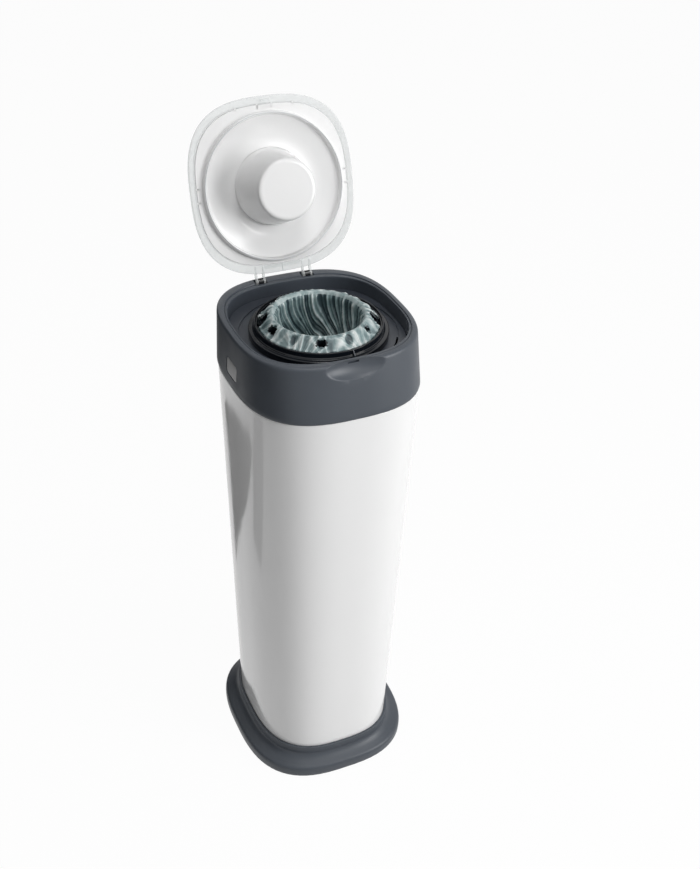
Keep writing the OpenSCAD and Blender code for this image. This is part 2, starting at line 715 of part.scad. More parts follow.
// Right-hand release parts; the left-hand ones are their mirror image
module guide_right() {
    z = button_z - 6;
    top = block_z - flange_t;
    wall_x = head_hx(top) - head_wall - wall_slack - seam;
    color(charcoal_deck) translate([0, button_y, z]) linear_extrude(top - z) polygon([
        [guide_back - 2, -guide_half - 2], [wall_x, -guide_half - 2], [wall_x, -guide_half],
        [guide_back, -guide_half], [guide_back, guide_half], [wall_x, guide_half],
        [wall_x, guide_half + 2], [guide_back - 2, guide_half + 2]
    ]);
}

module cap_right() {
    face = head_hx(button_z) - 0.3;
    lean = (head_hx(button_z + button_h / 2) - head_hx(button_z - button_h / 2)) / 2;
    h = button_h / 2 + 6;
    color(grey) intersection() {
        translate([face - 13, 0, 0]) button_window(0);
        translate([0, button_y + button_w, button_z]) rotate([90, 0, 0]) linear_extrude(2 * button_w)
            polygon([
                [face - cap_t, -h], [face - lean * h / (button_h / 2), -h],
                [face + lean * h / (button_h / 2), h], [face - cap_t, h]
            ]);
    }
}

module latch_right_solid() {
    face = head_hx(button_z) - 0.3 - cap_t;
    inner = head_hx(spigot_z) - head_wall - seam - spigot_wall;
    nose_x = inner - nose_gap;
    stem = 4.5;
    color(grey) translate([0, button_y, 0]) {
        // Stem and sprung arm with its nose, in one profile across the head
        difference() {
            translate([0, arm_w / 2, 0]) rotate([90, 0, 0]) linear_extrude(arm_w) polygon([
                [face, button_z + stem], [arm_x - arm_t, button_z + stem],
                [arm_x - arm_t, nose_top_z - nose_h], [arm_x + 0.6, nose_top_z - nose_h],
                [nose_x, nose_top_z - 1.4], [nose_x, nose_top_z], [arm_x, nose_top_z],
                [arm_x, button_z - stem], [face, button_z - stem]
            ]);
            translate([arm_x - arm_t - 1, 0, button_z]) rotate([0, 90, 0]) cylinder(r = 2.2, h = 3);
        }
    }
}

module spring_right() {
    x0 = guide_back;
    x1 = arm_x - arm_t + 2;
    wire = 0.8;
    r = 1.6;
    color(spring_steel) translate([x0, button_y, button_z]) rotate([0, 90, 0]) difference() {
        cylinder(r = r + wire / 2, h = x1 - x0);
        translate([0, 0, -1]) cylinder(r = r - wire / 2, h = x1 - x0 + 2);
    }
}

module button_guide_right() { guide_right(); }
module button_guide_left() { mirror([1, 0, 0]) guide_right(); }
module button_right() { cap_right(); }
module button_left() { mirror([1, 0, 0]) cap_right(); }
module latch_right() { latch_right_solid(); }
module latch_left() { mirror([1, 0, 0]) latch_right_solid(); }
module button_spring_right() { spring_right(); }
module button_spring_left() { mirror([1, 0, 0]) spring_right(); }

// Carousel: the turning ring that the cassette drops into
module carousel() {
    w = cassette_wall;
    flange_z = deck_z - well_depth + slip;
    step_z = rim_z_top - 7.2;
    in_r = carousel_r - w;
    throat = lip_r - 3;
    color(black) round_body() polygon([
        [throat, carousel_low_z], [carousel_wall_r, carousel_low_z], [carousel_wall_r, flange_z],
        [flange_r - 0.5, flange_z], [flange_r, flange_z + 0.8], [flange_r, step_z - 0.8],
        [flange_r - 0.8, step_z], [carousel_r + 1.8, step_z], [carousel_r + 1.8, step_z + 0.9],
        [carousel_r + 0.6, step_z + 1.4], [carousel_r, rim_z_top - 0.5], [carousel_r - 0.5, rim_z_top],
        [in_r, rim_z_top], [in_r, carousel_low_z + w * 2], [throat, carousel_low_z + w * 2]
    ]);
}

// Film cassette: an open annular channel
channel_out_r = carousel_r - cassette_wall - 0.3;
channel_in_r = lip_r - 1.8;
module cassette_tub() {
    w = cassette_wall;
    color(black) round_body() polygon([
        [channel_in_r, cassette_z], [channel_out_r, cassette_z], [channel_out_r, rim_z_top - 1.8],
        [channel_out_r - w, rim_z_top - 1.8], [channel_out_r - w, cassette_z + w],
        [channel_in_r + w, cassette_z + w], [channel_in_r + w, crown_foot_z], [channel_in_r, crown_foot_z]
    ]);
}

// Crown: a conical collar of petals that the film is drawn over
crown_drop = 12;
crown_foot_z = rim_z_top - crown_drop;
crown_out_r = channel_out_r - cassette_wall - 2.6;
crown_tip_z = lip_z - film_t - 0.5;
module cassette_crown() {
    w = cassette_wall;
    notch_at = (lip_r + crown_out_r) / 2 + 0.2;
    color(black) difference() {
        round_body() polygon([
            [channel_in_r, crown_foot_z], [channel_in_r + w, crown_foot_z], [channel_in_r + w, crown_tip_z - 6],
            [crown_out_r - 1, rim_z_top - 4], [crown_out_r, rim_z_top - 3.4], [crown_out_r, rim_z_top - 2],
            [crown_out_r - 1.2, rim_z_top - 1],
            [lip_r + 4, crown_tip_z - 1.6], [lip_r + 1.4, crown_tip_z - 0.2], [lip_r + 0.2, crown_tip_z],
            [lip_r - 1, crown_tip_z - 0.6], [channel_in_r, crown_tip_z - 2.4]
        ]);
        for (k = [0 : petals - 1]) translate([0, ring_y, 0]) rotate(360 * k / petals + 10)
            translate([notch_at, 0, crown_foot_z]) cylinder(r = notch_r, h = 2 * (crown_tip_z - crown_foot_z));
    }
}

// Pleated stock of film in the channel
module film_pack() {
    gap = 0.4;
    r0 = channel_in_r + cassette_wall + gap;
    r1 = channel_out_r - cassette_wall - gap;
    z0 = cassette_z + cassette_wall + 0.3;
    z1 = crown_foot_z - 1;
    color(film_green) round_body() polygon([
        [r0, z0], [r1, z0], [r1, z1 - 2], [r1 - 2, z1], [r0 + 2, z1], [r0, z1 - 2]
    ]);
}

// Film from the stock over the crown, down the throat and into its tied end
tie_z = grip_z - tail_len + rail_h + 5.6;
film_line = [
    [channel_out_r - cassette_wall - 1.3, crown_foot_z - 1],
    [channel_out_r - cassette_wall - 1.3, rim_z_top - 1.6],
    [crown_out_r - 1, rim_z_top],
    [lip_r + 4.6, lip_z - 2.2],
    [lip_r + 1.6, lip_z - 0.6],
    [lip_r, lip_z - film_t / 2],
    [lip_r - 1.8, lip_z - 1.4],
    [channel_in_r - 0.9, lip_z - 4],
    [channel_in_r - 1.4, rim_z_top - 4],
    [channel_in_r - 3.6, rim_z_top - 18],
    [lip_r - 10, cassette_z + 2],
    [lip_r - 15, cassette_z - 6],
    [tail_r + 9, grip_z + 1],
    [tail_r + 2, grip_z - tail_len * 0.15],
    [tail_r - 0.4, grip_z - tail_len * 0.34],
    [tail_r - 1.6, tie_z + 11],
    [tail_r * 0.5, tie_z + 8],
    [tail_r * 0.62, tie_z + 4],
    [tail_r * 0.4, tie_z + film_t]
];
module film() {
    n = len(film_line) - 1;
    // Unit normal of the line at one of its points
    function slope(i) = let (d = film_line[min(i + 1, n)] - film_line[max(i - 1, 0)]) d / norm(d);
    function side(i) = [-slope(i)[1], slope(i)[0]] * film_t / 2;
    color(film_green) round_body() polygon(concat(
        [for (i = [0 : n]) film_line[i] - side(i)],
        [[0, tie_z + 2 * film_t], [0, tie_z]],
        [for (i = [n : -1 : 0]) film_line[i] + side(i)]
    ));
}

// Lid cover: a thin dome with a thick border, two pairs of lugs and a latch tongue
module lid_cover() {
    top_z = rim_z + dome_h;
    edge = border_t + 2.4;
    color(clear_white, 0.6) opened() {
        loft([
            dome_ring(0.16, top_z - cover_t),
            dome_ring(0.62, top_z - cover_t - 1.2),
            border_ring(-3, lid_z + 9.6),
            border_ring(border_gap, lid_z + edge),
            border_ring(border_gap, lid_z + 0.5),
            border_ring(border_gap + 0.6, lid_z),
            lid_ring(1, lid_z),
            lid_ring(0.2, lid_z + 0.9),
            lid_ring(0, lid_z + 2.4),
            lid_ring(0.4, lid_z + 4.6),
            lid_ring(1.8, lid_z + 7),
            lid_ring(4.6, lid_z + 9.4),
            lid_ring(9.5, lid_z + 11.6),
            lid_ring(19, lid_z + 13.8),
            dome_ring(0.62, top_z - 1.3),
            dome_ring(0.16, top_z)
        ]);
        for (s = [-1, 1]) translate([s * hinge_x, 0, 0]) {
            for (e = [-arm_out, arm_in]) bar_x(e, e + arm_out - arm_in) lug_outline();
            translate([-arm_out, hinge_y, hinge_z]) rotate([0, 90, 0]) cylinder(r = axle_r, h = 2 * arm_out);
        }
        bar_x(-5.2, 5.2) polygon([
            [catch_y - 3, lid_z + 1], [catch_y - 3, slit_z + 1], [catch_y - 2.4, slit_z + 0.5],
            [catch_y - 0.4, slit_z + 0.5], [catch_y, slit_z + 0.9], [catch_y, slit_z + 1.4],
            [catch_y - 1.3, slit_z + 2.2], [catch_y - 1.3, lid_z + 1]
        ]);
        // Middle rib and raised strip of the back border
        translate([-0.8, border_y, lid_z - 0.9]) cube([1.6, lid_back - border_y - 1.4, 1.6]);
        translate([-hinge_x + arm_out + 1, border_y, lid_z - 0.4])
            cube([2 * (hinge_x - arm_out - 1), 3.4, 1]);
    }
}

catch_y = scoop_back(rim_z) - slip;
border_y = lid_back - border_back + border_gap;
// Side view of one hinge lug: the boss, the stop heel and the arm that runs on under the border
module lug_outline() {
    translate([hinge_y, hinge_z]) circle(r = boss_r, $fn = 32);
    polygon([
        [hinge_y, hinge_z - 1], [hinge_y + heel - 0.6, hinge_z - 1], [hinge_y + heel, hinge_z - 0.4],
        [hinge_y + heel, hinge_z + 1], [hinge_y, hinge_z + boss_r], [lid_back + 1, lid_z + 3.8],
        [lid_back - 1.6, lid_z + 3.8], [lid_back - 1.6, lid_z + 0.7], [border_y, lid_z + 0.7],
        [border_y, lid_z - 0.3], [border_y + 1, lid_z - 0.9], [hinge_y - 4.6, lid_z - 0.9]
    ]);
}

// Lid liner: a plate with a ridge and a dished middle that is open for the plunger
dish_z = lid_z + 9.4;
dish_r = plunger_root_r + 1.4;
dish_flat_r = plunger_root_r + 7;
module lid_liner() {
    t = liner_t;
    ring_out = ridge_r + 3;
    color(white) opened() union() {
        translate([0, 0, liner_z]) linear_extrude(t) difference() {
            union() {
                polygon(outline2(lid_hx - border_side - border_gap, lid_front + border_front + border_gap,
                    lid_back - border_back - border_gap));
                // Tabs that reach across the gap to the cover's border
                intersection() {
                    polygon([for (p = border_ring(border_gap - 0.05, 0)) [p[0], p[1]]]);
                    union() {
                        for (x = [-34.5, -9, 7.6, 33]) translate([x - 1, lid_front])
                            square([2, border_front + 8]);
                        for (x = [-1, 1], y = [-11.5, 3.6]) translate([x * (lid_hx - 8) - 6, y])
                            square([12, 2]);
                    }
                }
            }
            translate([0, ring_y]) circle(r = ring_out - 1);
        }
        round_body() polygon([
            [ring_out, liner_z], [ridge_r + 2.1, liner_z], [ridge_r + 1.9, liner_z - ridge_h + 1.6],
            [ridge_r + 1.3, liner_z - ridge_h + 0.4], [ridge_r + 0.6, liner_z - ridge_h],
            [ridge_r + 0.6, liner_z - ridge_h + 2.4], [ridge_r - 0.6, liner_z - ridge_h + 2.4],
            [ridge_r - 0.6, liner_z - ridge_h],
            [ridge_r - 1.3, liner_z - ridge_h + 0.4], [ridge_r - 1.9, liner_z - ridge_h + 1.6],
            [ridge_r - 2.3, liner_z], [ridge_r - 11, liner_z + 3],
            [dish_flat_r + 11, dish_z - 2], [dish_flat_r + 5, dish_z - 0.4], [dish_flat_r, dish_z],
            [dish_r + 2, dish_z - 0.4], [dish_r, dish_z - 1.2], [dish_r, dish_z + t],
            [dish_flat_r, dish_z + t], [dish_flat_r + 5, dish_z + t - 0.4], [dish_flat_r + 11, dish_z + t - 2],
            [ridge_r - 11, liner_z + 3 + t], [ridge_r - 2.3, liner_z + t], [ring_out, liner_z + t]
        ]);
    }
}

// Plunger that meets the throat: a tapered cup whose flange is fixed behind the liner's dish
module plunger() {
    t = liner_t;
    end_z = rim_z - plunger_reach;
    root = plunger_root_r;
    seat_z = dish_z + t;
    color(white) opened() round_body() polygon([
        [dish_flat_r, seat_z], [dish_r - 0.2, seat_z], [dish_r - 0.2, dish_z - 0.8], [root + 0.5, dish_z - 4],
        [root - 0.2, dish_z - 13], [plunger_r + 1.2, end_z + 6], [plunger_r + 0.4, end_z + 2.6],
        [plunger_r - 1, end_z + 0.8], [plunger_r - 3, end_z], [0, end_z], [0, end_z + t],
        [plunger_r - 3.4, end_z + t], [plunger_r - 1.2, end_z + 4], [plunger_r - 0.7, end_z + 6],
        [root - 0.2 - t, dish_z - 13], [dish_r - 0.2 - t, dish_z - 3], [dish_r - 0.2 - t, seat_z + 1.2],
        [dish_flat_r, seat_z + 1.2]
    ]);
}

// Soft lip set in the ridge's groove
module lid_seal() {
    color(clear_white) opened() round_body() polygon([
        [ridge_r - 0.5, liner_z - ridge_h + 2.35], [ridge_r - 0.5, liner_z - ridge_h - 0.2],
        [ridge_r - 0.2, liner_z - ridge_h - 0.5], [ridge_r + 0.2, liner_z - ridge_h - 0.5],
        [ridge_r + 0.5, liner_z - ridge_h - 0.2], [ridge_r + 0.5, liner_z - ridge_h + 2.35]
    ]);
}

tub();
plinth();
foot_ring();
plinth_screws();
head_shell();
deck();
gripper_housing();
head_screws();
deck_screws();
gripper();
cutter_frame();
frame_screws();
click_pawl();
hinge_clip_left();
hinge_clip_right();
button_guide_left();
button_guide_right();
button_left();
button_right();
latch_left();
latch_right();
button_spring_left();
button_spring_right();
cutter_carriage();
cutter_blade();
blade_screws();
carousel();
ratchet_ring();
cassette_tub();
cassette_crown();
film_pack();
film();
lid_cover();
lid_liner();
plunger();
lid_seal();
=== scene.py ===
# %% [markdown]
# # A nappy bin in Blender
#
# The real object is a tall household bin that seals what it takes in a sleeve of film. A white
# tapered tub stands on a dark flared plinth. A dark head sits on the tub and carries a black
# turning ring with a cassette of film, and a frosted lid that leans open on two small hinges.
#
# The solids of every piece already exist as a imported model, the frame. This script keeps them
# where they are, in metres with +Z up, and dresses them: what shows gets a smooth skin of its
# own, and everything gets the plastic, steel or rubber that it is made of.

# %% Load the frame
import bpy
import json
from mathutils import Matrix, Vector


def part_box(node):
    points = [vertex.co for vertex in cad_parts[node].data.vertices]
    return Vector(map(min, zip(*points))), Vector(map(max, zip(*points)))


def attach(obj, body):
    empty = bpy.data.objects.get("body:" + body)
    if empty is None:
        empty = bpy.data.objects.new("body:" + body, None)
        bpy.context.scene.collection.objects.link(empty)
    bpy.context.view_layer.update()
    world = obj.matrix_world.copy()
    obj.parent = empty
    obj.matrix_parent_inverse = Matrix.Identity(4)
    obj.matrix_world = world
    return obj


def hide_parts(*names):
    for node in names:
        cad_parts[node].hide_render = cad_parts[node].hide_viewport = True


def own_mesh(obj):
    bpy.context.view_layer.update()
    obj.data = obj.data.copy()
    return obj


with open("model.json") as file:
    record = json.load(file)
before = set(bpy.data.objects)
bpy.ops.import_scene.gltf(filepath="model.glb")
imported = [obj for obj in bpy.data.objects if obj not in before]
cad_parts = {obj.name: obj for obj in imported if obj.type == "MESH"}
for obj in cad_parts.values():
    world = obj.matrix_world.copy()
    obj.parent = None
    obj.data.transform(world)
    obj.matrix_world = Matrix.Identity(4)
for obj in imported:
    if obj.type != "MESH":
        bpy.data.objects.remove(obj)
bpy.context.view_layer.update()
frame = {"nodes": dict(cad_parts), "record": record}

import json
import math

import bmesh
import bpy
import numpy as np
from mathutils import Matrix, Vector

MM = 0.001

# %% [markdown]
# ## The camera
#
# A camera comes first, because every later choice is judged through it. It stands in front and
# to the left, and looks down at about 34 degrees. It could be moved by eye until the edges
# meet, but then a wrong shape and a wrong view look much the same. So its place was worked out
# from the outlines of the rim, the tub and the plinth.

# %% Camera
def look_from(turn, tilt, roll, reach, right_mm, up_mm, target_mm):
    """Matrix of a camera that looks back at a target from an angle in degrees, at a reach in mm,
    and is then shifted to the right and up to frame it."""
    turn, tilt, roll = (math.radians(a) for a in (turn, tilt, roll))
    back = Vector((math.sin(turn) * math.cos(tilt), -math.cos(turn) * math.cos(tilt), math.sin(tilt)))
    level = Vector((math.cos(turn), math.sin(turn), 0))
    rise = back.cross(level)
    right = level * math.cos(roll) + rise * math.sin(roll)
    up = rise * math.cos(roll) - level * math.sin(roll)
    place = Vector(target_mm) + back * reach + right * right_mm + up * up_mm
    return Matrix.Translation(place * MM) @ Matrix((right, up, back)).transposed().to_4x4()


camera_data = bpy.data.cameras.new("camera")
camera_data.sensor_fit = "HORIZONTAL"
camera_data.sensor_width = 36
camera_data.lens = 64.12
camera_data.clip_start = 0.02
camera = bpy.data.objects.new("camera", camera_data)
bpy.context.scene.collection.objects.link(camera)
camera.matrix_world = look_from(turn=-25.21, tilt=34.33, roll=2.08, reach=1527.9,
                                right_mm=43.57, up_mm=118.43, target_mm=(0, 0, 302))
bpy.context.scene.camera = camera
bpy.context.scene.view_settings.view_transform = "Standard"
print("camera at", [round(v, 3) for v in camera.matrix_world.translation])

# %% [markdown]
# ## The studio
#
# The bin stands on a pale floor in soft light. One big softbox stands to the right of the
# front, so that the tub goes from bright at its right to grey at its left. Weaker lamps fill
# from the front and from above, and a faint strip from the left. The white that surrounds the
# bin isn't more light on it: the floor and the world only look white to the camera and in
# reflections. Dark cards lie and stand to the left and behind. They show only in the gloss,
# where they draw the dark panel and the grey band on the tub's left side and deepen the left
# of the head.

# %% Node helper
def add_node(tree, kind, inputs=None, **settings):
    """Adds a node to a tree, sets its settings, and sets or links its inputs."""
    made = tree.nodes.new(kind)
    for name, value in settings.items():
        setattr(made, name, value)
    for name, value in (inputs or {}).items():
        if isinstance(value, bpy.types.NodeSocket):
            tree.links.new(value, made.inputs[name])
        else:
            made.inputs[name].default_value = value
    return made


def linear(hex_colour):
    """sRGB hex, as in a paint program, to the linear colour that the renderer works in."""
    parts = [int(hex_colour[i:i + 2], 16) / 255 for i in (1, 3, 5)]
    return tuple(c / 12.92 if c <= 0.04045 else ((c + 0.055) / 1.055) ** 2.4 for c in parts) + (1.0,)


# %% Floor and world
def seen_directly(tree):
    """1 for rays from the camera, from a mirror or through glass, else 0."""
    path = add_node(tree, "ShaderNodeLightPath")
    seen = add_node(tree, "ShaderNodeMath",
                    {0: path.outputs["Is Camera Ray"], 1: path.outputs["Is Glossy Ray"]},
                    operation="MAXIMUM")
    return add_node(tree, "ShaderNodeMath",
                    {0: seen.outputs[0], 1: path.outputs["Is Transmission Ray"]},
                    operation="MAXIMUM").outputs[0]


ROOM_LIGHT, FLOOR_WHITE = 0.16, 0.965
world = bpy.data.worlds.new("studio")
bpy.context.scene.world = world
world.use_nodes = True
tree = world.node_tree
tree.nodes.clear()
room = add_node(tree, "ShaderNodeBackground", {"Color": (1, 1, 1, 1), "Strength": ROOM_LIGHT})
white = add_node(tree, "ShaderNodeBackground", {"Color": (1, 1, 1, 1), "Strength": 1.0})
either = add_node(tree, "ShaderNodeMixShader",
                  {0: seen_directly(tree), 1: room.outputs[0], 2: white.outputs[0]})
add_node(tree, "ShaderNodeOutputWorld", {"Surface": either.outputs[0]})

floor_paper = bpy.data.materials.new("floor_paper")
floor_paper.use_nodes = True
tree = floor_paper.node_tree
tree.nodes.clear()
matt = add_node(tree, "ShaderNodeBsdfDiffuse", {"Color": (0.9, 0.9, 0.9, 1)})
glow = add_node(tree, "ShaderNodeEmission", {"Color": (1, 1, 1, 1), "Strength": 1.0})
share = add_node(tree, "ShaderNodeMath", {0: seen_directly(tree), 1: FLOOR_WHITE}, operation="MULTIPLY")
paper = add_node(tree, "ShaderNodeMixShader", {0: share.outputs[0], 1: matt.outputs[0], 2: glow.outputs[0]})
add_node(tree, "ShaderNodeOutputMaterial", {"Surface": paper.outputs[0]})
FLOOR_HALF = 6000


def flat_sheet(name, corners_mm, material):
    """A flat sheet of the studio, which isn't part of the bin."""
    mesh = bpy.data.meshes.new(name)
    mesh.from_pydata([[v * MM for v in corner] for corner in corners_mm], [], [tuple(range(len(corners_mm)))])
    mesh.materials.append(material)
    made = bpy.data.objects.new(name, mesh)
    bpy.context.scene.collection.objects.link(made)
    return made


floor_corners = [(FLOOR_HALF * x, FLOOR_HALF * y, 0) for x, y in ((-1, -1), (1, -1), (1, 1), (-1, 1))]
flat_sheet("floor", floor_corners, floor_paper)
print("floor is", 2 * FLOOR_HALF * MM, "m wide")


# %% Cards
def card(name, grey, corners_mm):
    """A card that only shows in reflections, where it is darker than the white around it."""
    paint = bpy.data.materials.new(name)
    paint.use_nodes = True
    paint.node_tree.nodes.clear()
    level = add_node(paint.node_tree, "ShaderNodeEmission", {"Color": (grey, grey, grey, 1), "Strength": 1.0})
    add_node(paint.node_tree, "ShaderNodeOutputMaterial", {"Surface": level.outputs[0]})
    made = flat_sheet(name, corners_mm, paint)
    made.visible_camera = made.visible_diffuse = made.visible_transmission = made.visible_shadow = False


def lying(*corners_mm):
    """Corners of a card that lies on the floor."""
    return [(x, y, 1) for x, y in corners_mm]


card("card_far_left", 0.02, lying((-3000, -1200), (-800, -1200), (-800, 3500), (-3000, 3500)))
card("card_upright", 0.03, [(-3000, -600, 0), (-3000, 3500, 0), (-3000, 3500, 2600), (-3000, -600, 2600)])
card("card_upright_behind", 0.03,
     [(-3000, 3500, 0), (-500, 3500, 0), (-500, 3500, 2600), (-3000, 3500, 2600)])
card("card_behind", 0.04, lying((-140, 322), (-232, 402), (-545, 402), (-545, 485), (-257, 766),
                                (-205, 756), (-200, 596)))
card("card_far_behind", 0.03, lying((-90, 900), (-800, 900), (-800, 3500), (-90, 3500)))
card("card_left", 0.35, lying((-350, 160), (-790, 160), (-790, 400), (-553, 392), (-340, 290)))


# %% Lamps
def softbox(name, turn, tilt, reach, wide, tall, watts, aim=(0, 0, 0.32)):
    """A rectangular lamp at an angle round the bin, facing it. Its sizes and reach are in metres."""
    turn, tilt = math.radians(turn), math.radians(tilt)
    data = bpy.data.lights.new(name, "AREA")
    data.shape, data.size, data.size_y, data.energy = "RECTANGLE", wide, tall, watts
    lamp = bpy.data.objects.new(name, data)
    bpy.context.scene.collection.objects.link(lamp)
    away = Vector((math.sin(turn) * math.cos(tilt), -math.cos(turn) * math.cos(tilt), math.sin(tilt)))
    lamp.location = Vector(aim) + away * reach
    lamp.rotation_euler = away.to_track_quat("Z", "Y").to_euler()
    print(name, watts, "W")


softbox("key_softbox", turn=44, tilt=21, reach=2.2, wide=1.0, tall=1.3, watts=29)
softbox("front_softbox", turn=4, tilt=50, reach=2.4, wide=2.0, tall=1.2, watts=8)
softbox("top_softbox", turn=20, tilt=80, reach=1.9, wide=0.7, tall=0.7, watts=11, aim=(0, 0, 0.6))
softbox("left_strip", turn=-112, tilt=18, reach=1.9, wide=0.25, tall=1.2, watts=0.6)

# %% [markdown]
# ## The materials
#
# Nearly all of the bin is injection-moulded plastic. What tells one plastic from the next is
# how polished its mould was and how much light goes through it. Each material below starts
# from the real one's usual values and gets the fine marks that its making leaves: the grain of
# an etched mould, the slight waves of a polished one, the creases of a thin film.

# %% Start and finish of a material
def moulded(name, colour, roughness, **sockets):
    """A material with a Principled shader and an output. Returns the material, its tree and its shader."""
    made = bpy.data.materials.new(name)
    made.use_nodes = True
    made.node_tree.nodes.clear()
    values = {"Base Color": linear(colour), "Roughness": roughness}
    values.update({k.replace("_", " "): v for k, v in sockets.items()})
    shader = add_node(made.node_tree, "ShaderNodeBsdfPrincipled", values)
    add_node(made.node_tree, "ShaderNodeOutputMaterial", {"Surface": shader.outputs[0]})
    print(name, "roughness", roughness)
    return made, made.node_tree, shader


def patches(tree, size_mm, detail):
    """Noise whose patches have a real size, in object coordinates, which are metres."""
    place = add_node(tree, "ShaderNodeTexCoord")
    noise = add_node(tree, "ShaderNodeTexNoise",
                     {"Vector": place.outputs["Object"], "Scale": 1000 / size_mm, "Detail": detail})
    return noise.outputs["Fac"]


def grain(tree, shader, size_mm, height_mm, strength, detail=2.0):
    """Bumps of a real size and height."""
    bump = add_node(tree, "ShaderNodeBump", {"Height": patches(tree, size_mm, detail),
                                             "Distance": height_mm * MM, "Strength": strength})
    tree.links.new(bump.outputs[0], shader.inputs["Normal"])


def vary(tree, shader, size_mm, low, high):
    """Lets the roughness wander between two values over patches of a real size."""
    span = add_node(tree, "ShaderNodeMapRange", {"Value": patches(tree, size_mm, 3.0), "From Min": 0.3,
                                                 "From Max": 0.7, "To Min": low, "To Max": high})
    tree.links.new(span.outputs[0], shader.inputs["Roughness"])


def mottle(tree, shader, size_mm, first, second):
    """Lets the colour wander a little between two close tones, as pigment does in a melt."""
    # A Mix node's share is its input 0, and its two colours are its inputs 6 and 7
    mix = add_node(tree, "ShaderNodeMix",
                   {0: patches(tree, size_mm, 4.0), 6: linear(first), 7: linear(second)},
                   data_type="RGBA")
    tree.links.new(mix.outputs[2], shader.inputs["Base Color"])


# %% White plastics of tub and liner
# Glossy white ABS of the tub: a polished mould leaves broad, very low waves.
glossy_abs, tree, shader = moulded("glossy_white_abs", "#f1f1f1", 0.12, IOR=1.53)
mottle(tree, shader, 60, "#f2f2f2", "#efefef")
vary(tree, shader, 45, 0.08, 0.14)
grain(tree, shader, 14, 0.04, 0.25, detail=1.0)

# White ABS of the lid's liner, from a less polished mould, so its highlights are wider.
liner_abs, tree, shader = moulded("white_liner_abs", "#ececec", 0.24, IOR=1.53)
mottle(tree, shader, 40, "#eeeeee", "#eaeaea")
vary(tree, shader, 30, 0.18, 0.26)
grain(tree, shader, 9, 0.03, 0.2, detail=1.0)

# %% Dark plastics, and the grey of the buttons
# Satin charcoal polypropylene of the head and plinth: a finely etched mould. The real grain of
# such a mould is about 0.15 mm. Here and below it is drawn at 0.7 to 0.9 mm, the finest that shows.
satin_pp, tree, shader = moulded("satin_charcoal_pp", "#40464e", 0.42, IOR=1.49)
mottle(tree, shader, 35, "#424850", "#3e444c")
vary(tree, shader, 20, 0.38, 0.46)
grain(tree, shader, 0.9, 0.03, 0.35)

# The deck is the same plastic from a slightly smoother mould. Its colour is darker than the head's, which
# paints the shade that falls on it deep inside the rim.
deck_pp, tree, shader = moulded("satin_deck_pp", "#363b43", 0.38, IOR=1.49)
mottle(tree, shader, 30, "#383d45", "#343941")
vary(tree, shader, 18, 0.34, 0.42)
grain(tree, shader, 0.9, 0.03, 0.3)

# Glossy black ABS of the turning ring and the cassette.
black_abs, tree, shader = moulded("glossy_black_abs", "#12161c", 0.16, IOR=1.53, Specular_IOR_Level=0.3)
mottle(tree, shader, 25, "#14181e", "#10141a")
vary(tree, shader, 12, 0.1, 0.2)
grain(tree, shader, 5, 0.02, 0.25)

# Black acetal of clips, gripper and ratchet: slippery, and dull rather than glossy.
black_pom, tree, shader = moulded("black_acetal", "#1b1d20", 0.36, IOR=1.48)
mottle(tree, shader, 10, "#1d1f22", "#181a1d")
grain(tree, shader, 0.7, 0.02, 0.3)

# Light grey ABS of the release buttons.
grey_abs, tree, shader = moulded("satin_grey_abs", "#a3a3a4", 0.36, IOR=1.53)
mottle(tree, shader, 12, "#a6a6a7", "#a0a0a1")
grain(tree, shader, 0.8, 0.02, 0.3)

# %% Frosted cover, soft lip and rubber
# Frosted polypropylene of the lid's cover: milky, so light goes in and comes out softened.
frosted_pp, tree, shader = moulded("frosted_clear_pp", "#f8f9f9", 0.26, IOR=1.49)
mottle(tree, shader, 50, "#f9fafa", "#f6f7f7")
vary(tree, shader, 30, 0.22, 0.3)
grain(tree, shader, 3, 0.02, 0.1)
clear = add_node(tree, "ShaderNodeBsdfTransparent", {"Color": (0.98, 0.99, 0.99, 1)})
milky = add_node(tree, "ShaderNodeBsdfTranslucent", {"Color": linear("#f8f9f9")})
lit = add_node(tree, "ShaderNodeMixShader", {0: 0.3, 1: shader.outputs[0], 2: milky.outputs[0]})
veil = add_node(tree, "ShaderNodeMixShader", {0: 0.62, 1: lit.outputs[0], 2: clear.outputs[0]})
last = next(n for n in tree.nodes if n.type == "OUTPUT_MATERIAL")
tree.links.new(veil.outputs[0], last.inputs["Surface"])

# Soft white elastomer of the lid's lip, and black rubber of the foot ring: matt and soft to the eye.
soft_tpe, tree, shader = moulded("soft_white_tpe", "#d6d8da", 0.5, IOR=1.45)
mottle(tree, shader, 6, "#d9dbdd", "#d2d4d6")
grain(tree, shader, 0.8, 0.02, 0.3)

black_rubber, tree, shader = moulded("black_rubber", "#232426", 0.7, IOR=1.52)
mottle(tree, shader, 8, "#262729", "#202123")
grain(tree, shader, 0.8, 0.05, 0.5)

# %% Steels
# Zinc-plated screws: the plating is a fine frost of crystals, so they shine softly.
plated_steel, tree, shader = moulded("zinc_plated_steel", "#c3c5c8", 0.32, Metallic=1.0)
mottle(tree, shader, 3, "#c9cbce", "#b9bbbf")
grain(tree, shader, 0.4, 0.01, 0.3)

# Drawn wire of the springs: a shade darker than the screws, and about as smooth.
spring_wire, tree, shader = moulded("drawn_spring_steel", "#a9abae", 0.3, Metallic=1.0)
mottle(tree, shader, 2, "#b0b2b5", "#9d9fa3")
grain(tree, shader, 0.4, 0.01, 0.3)

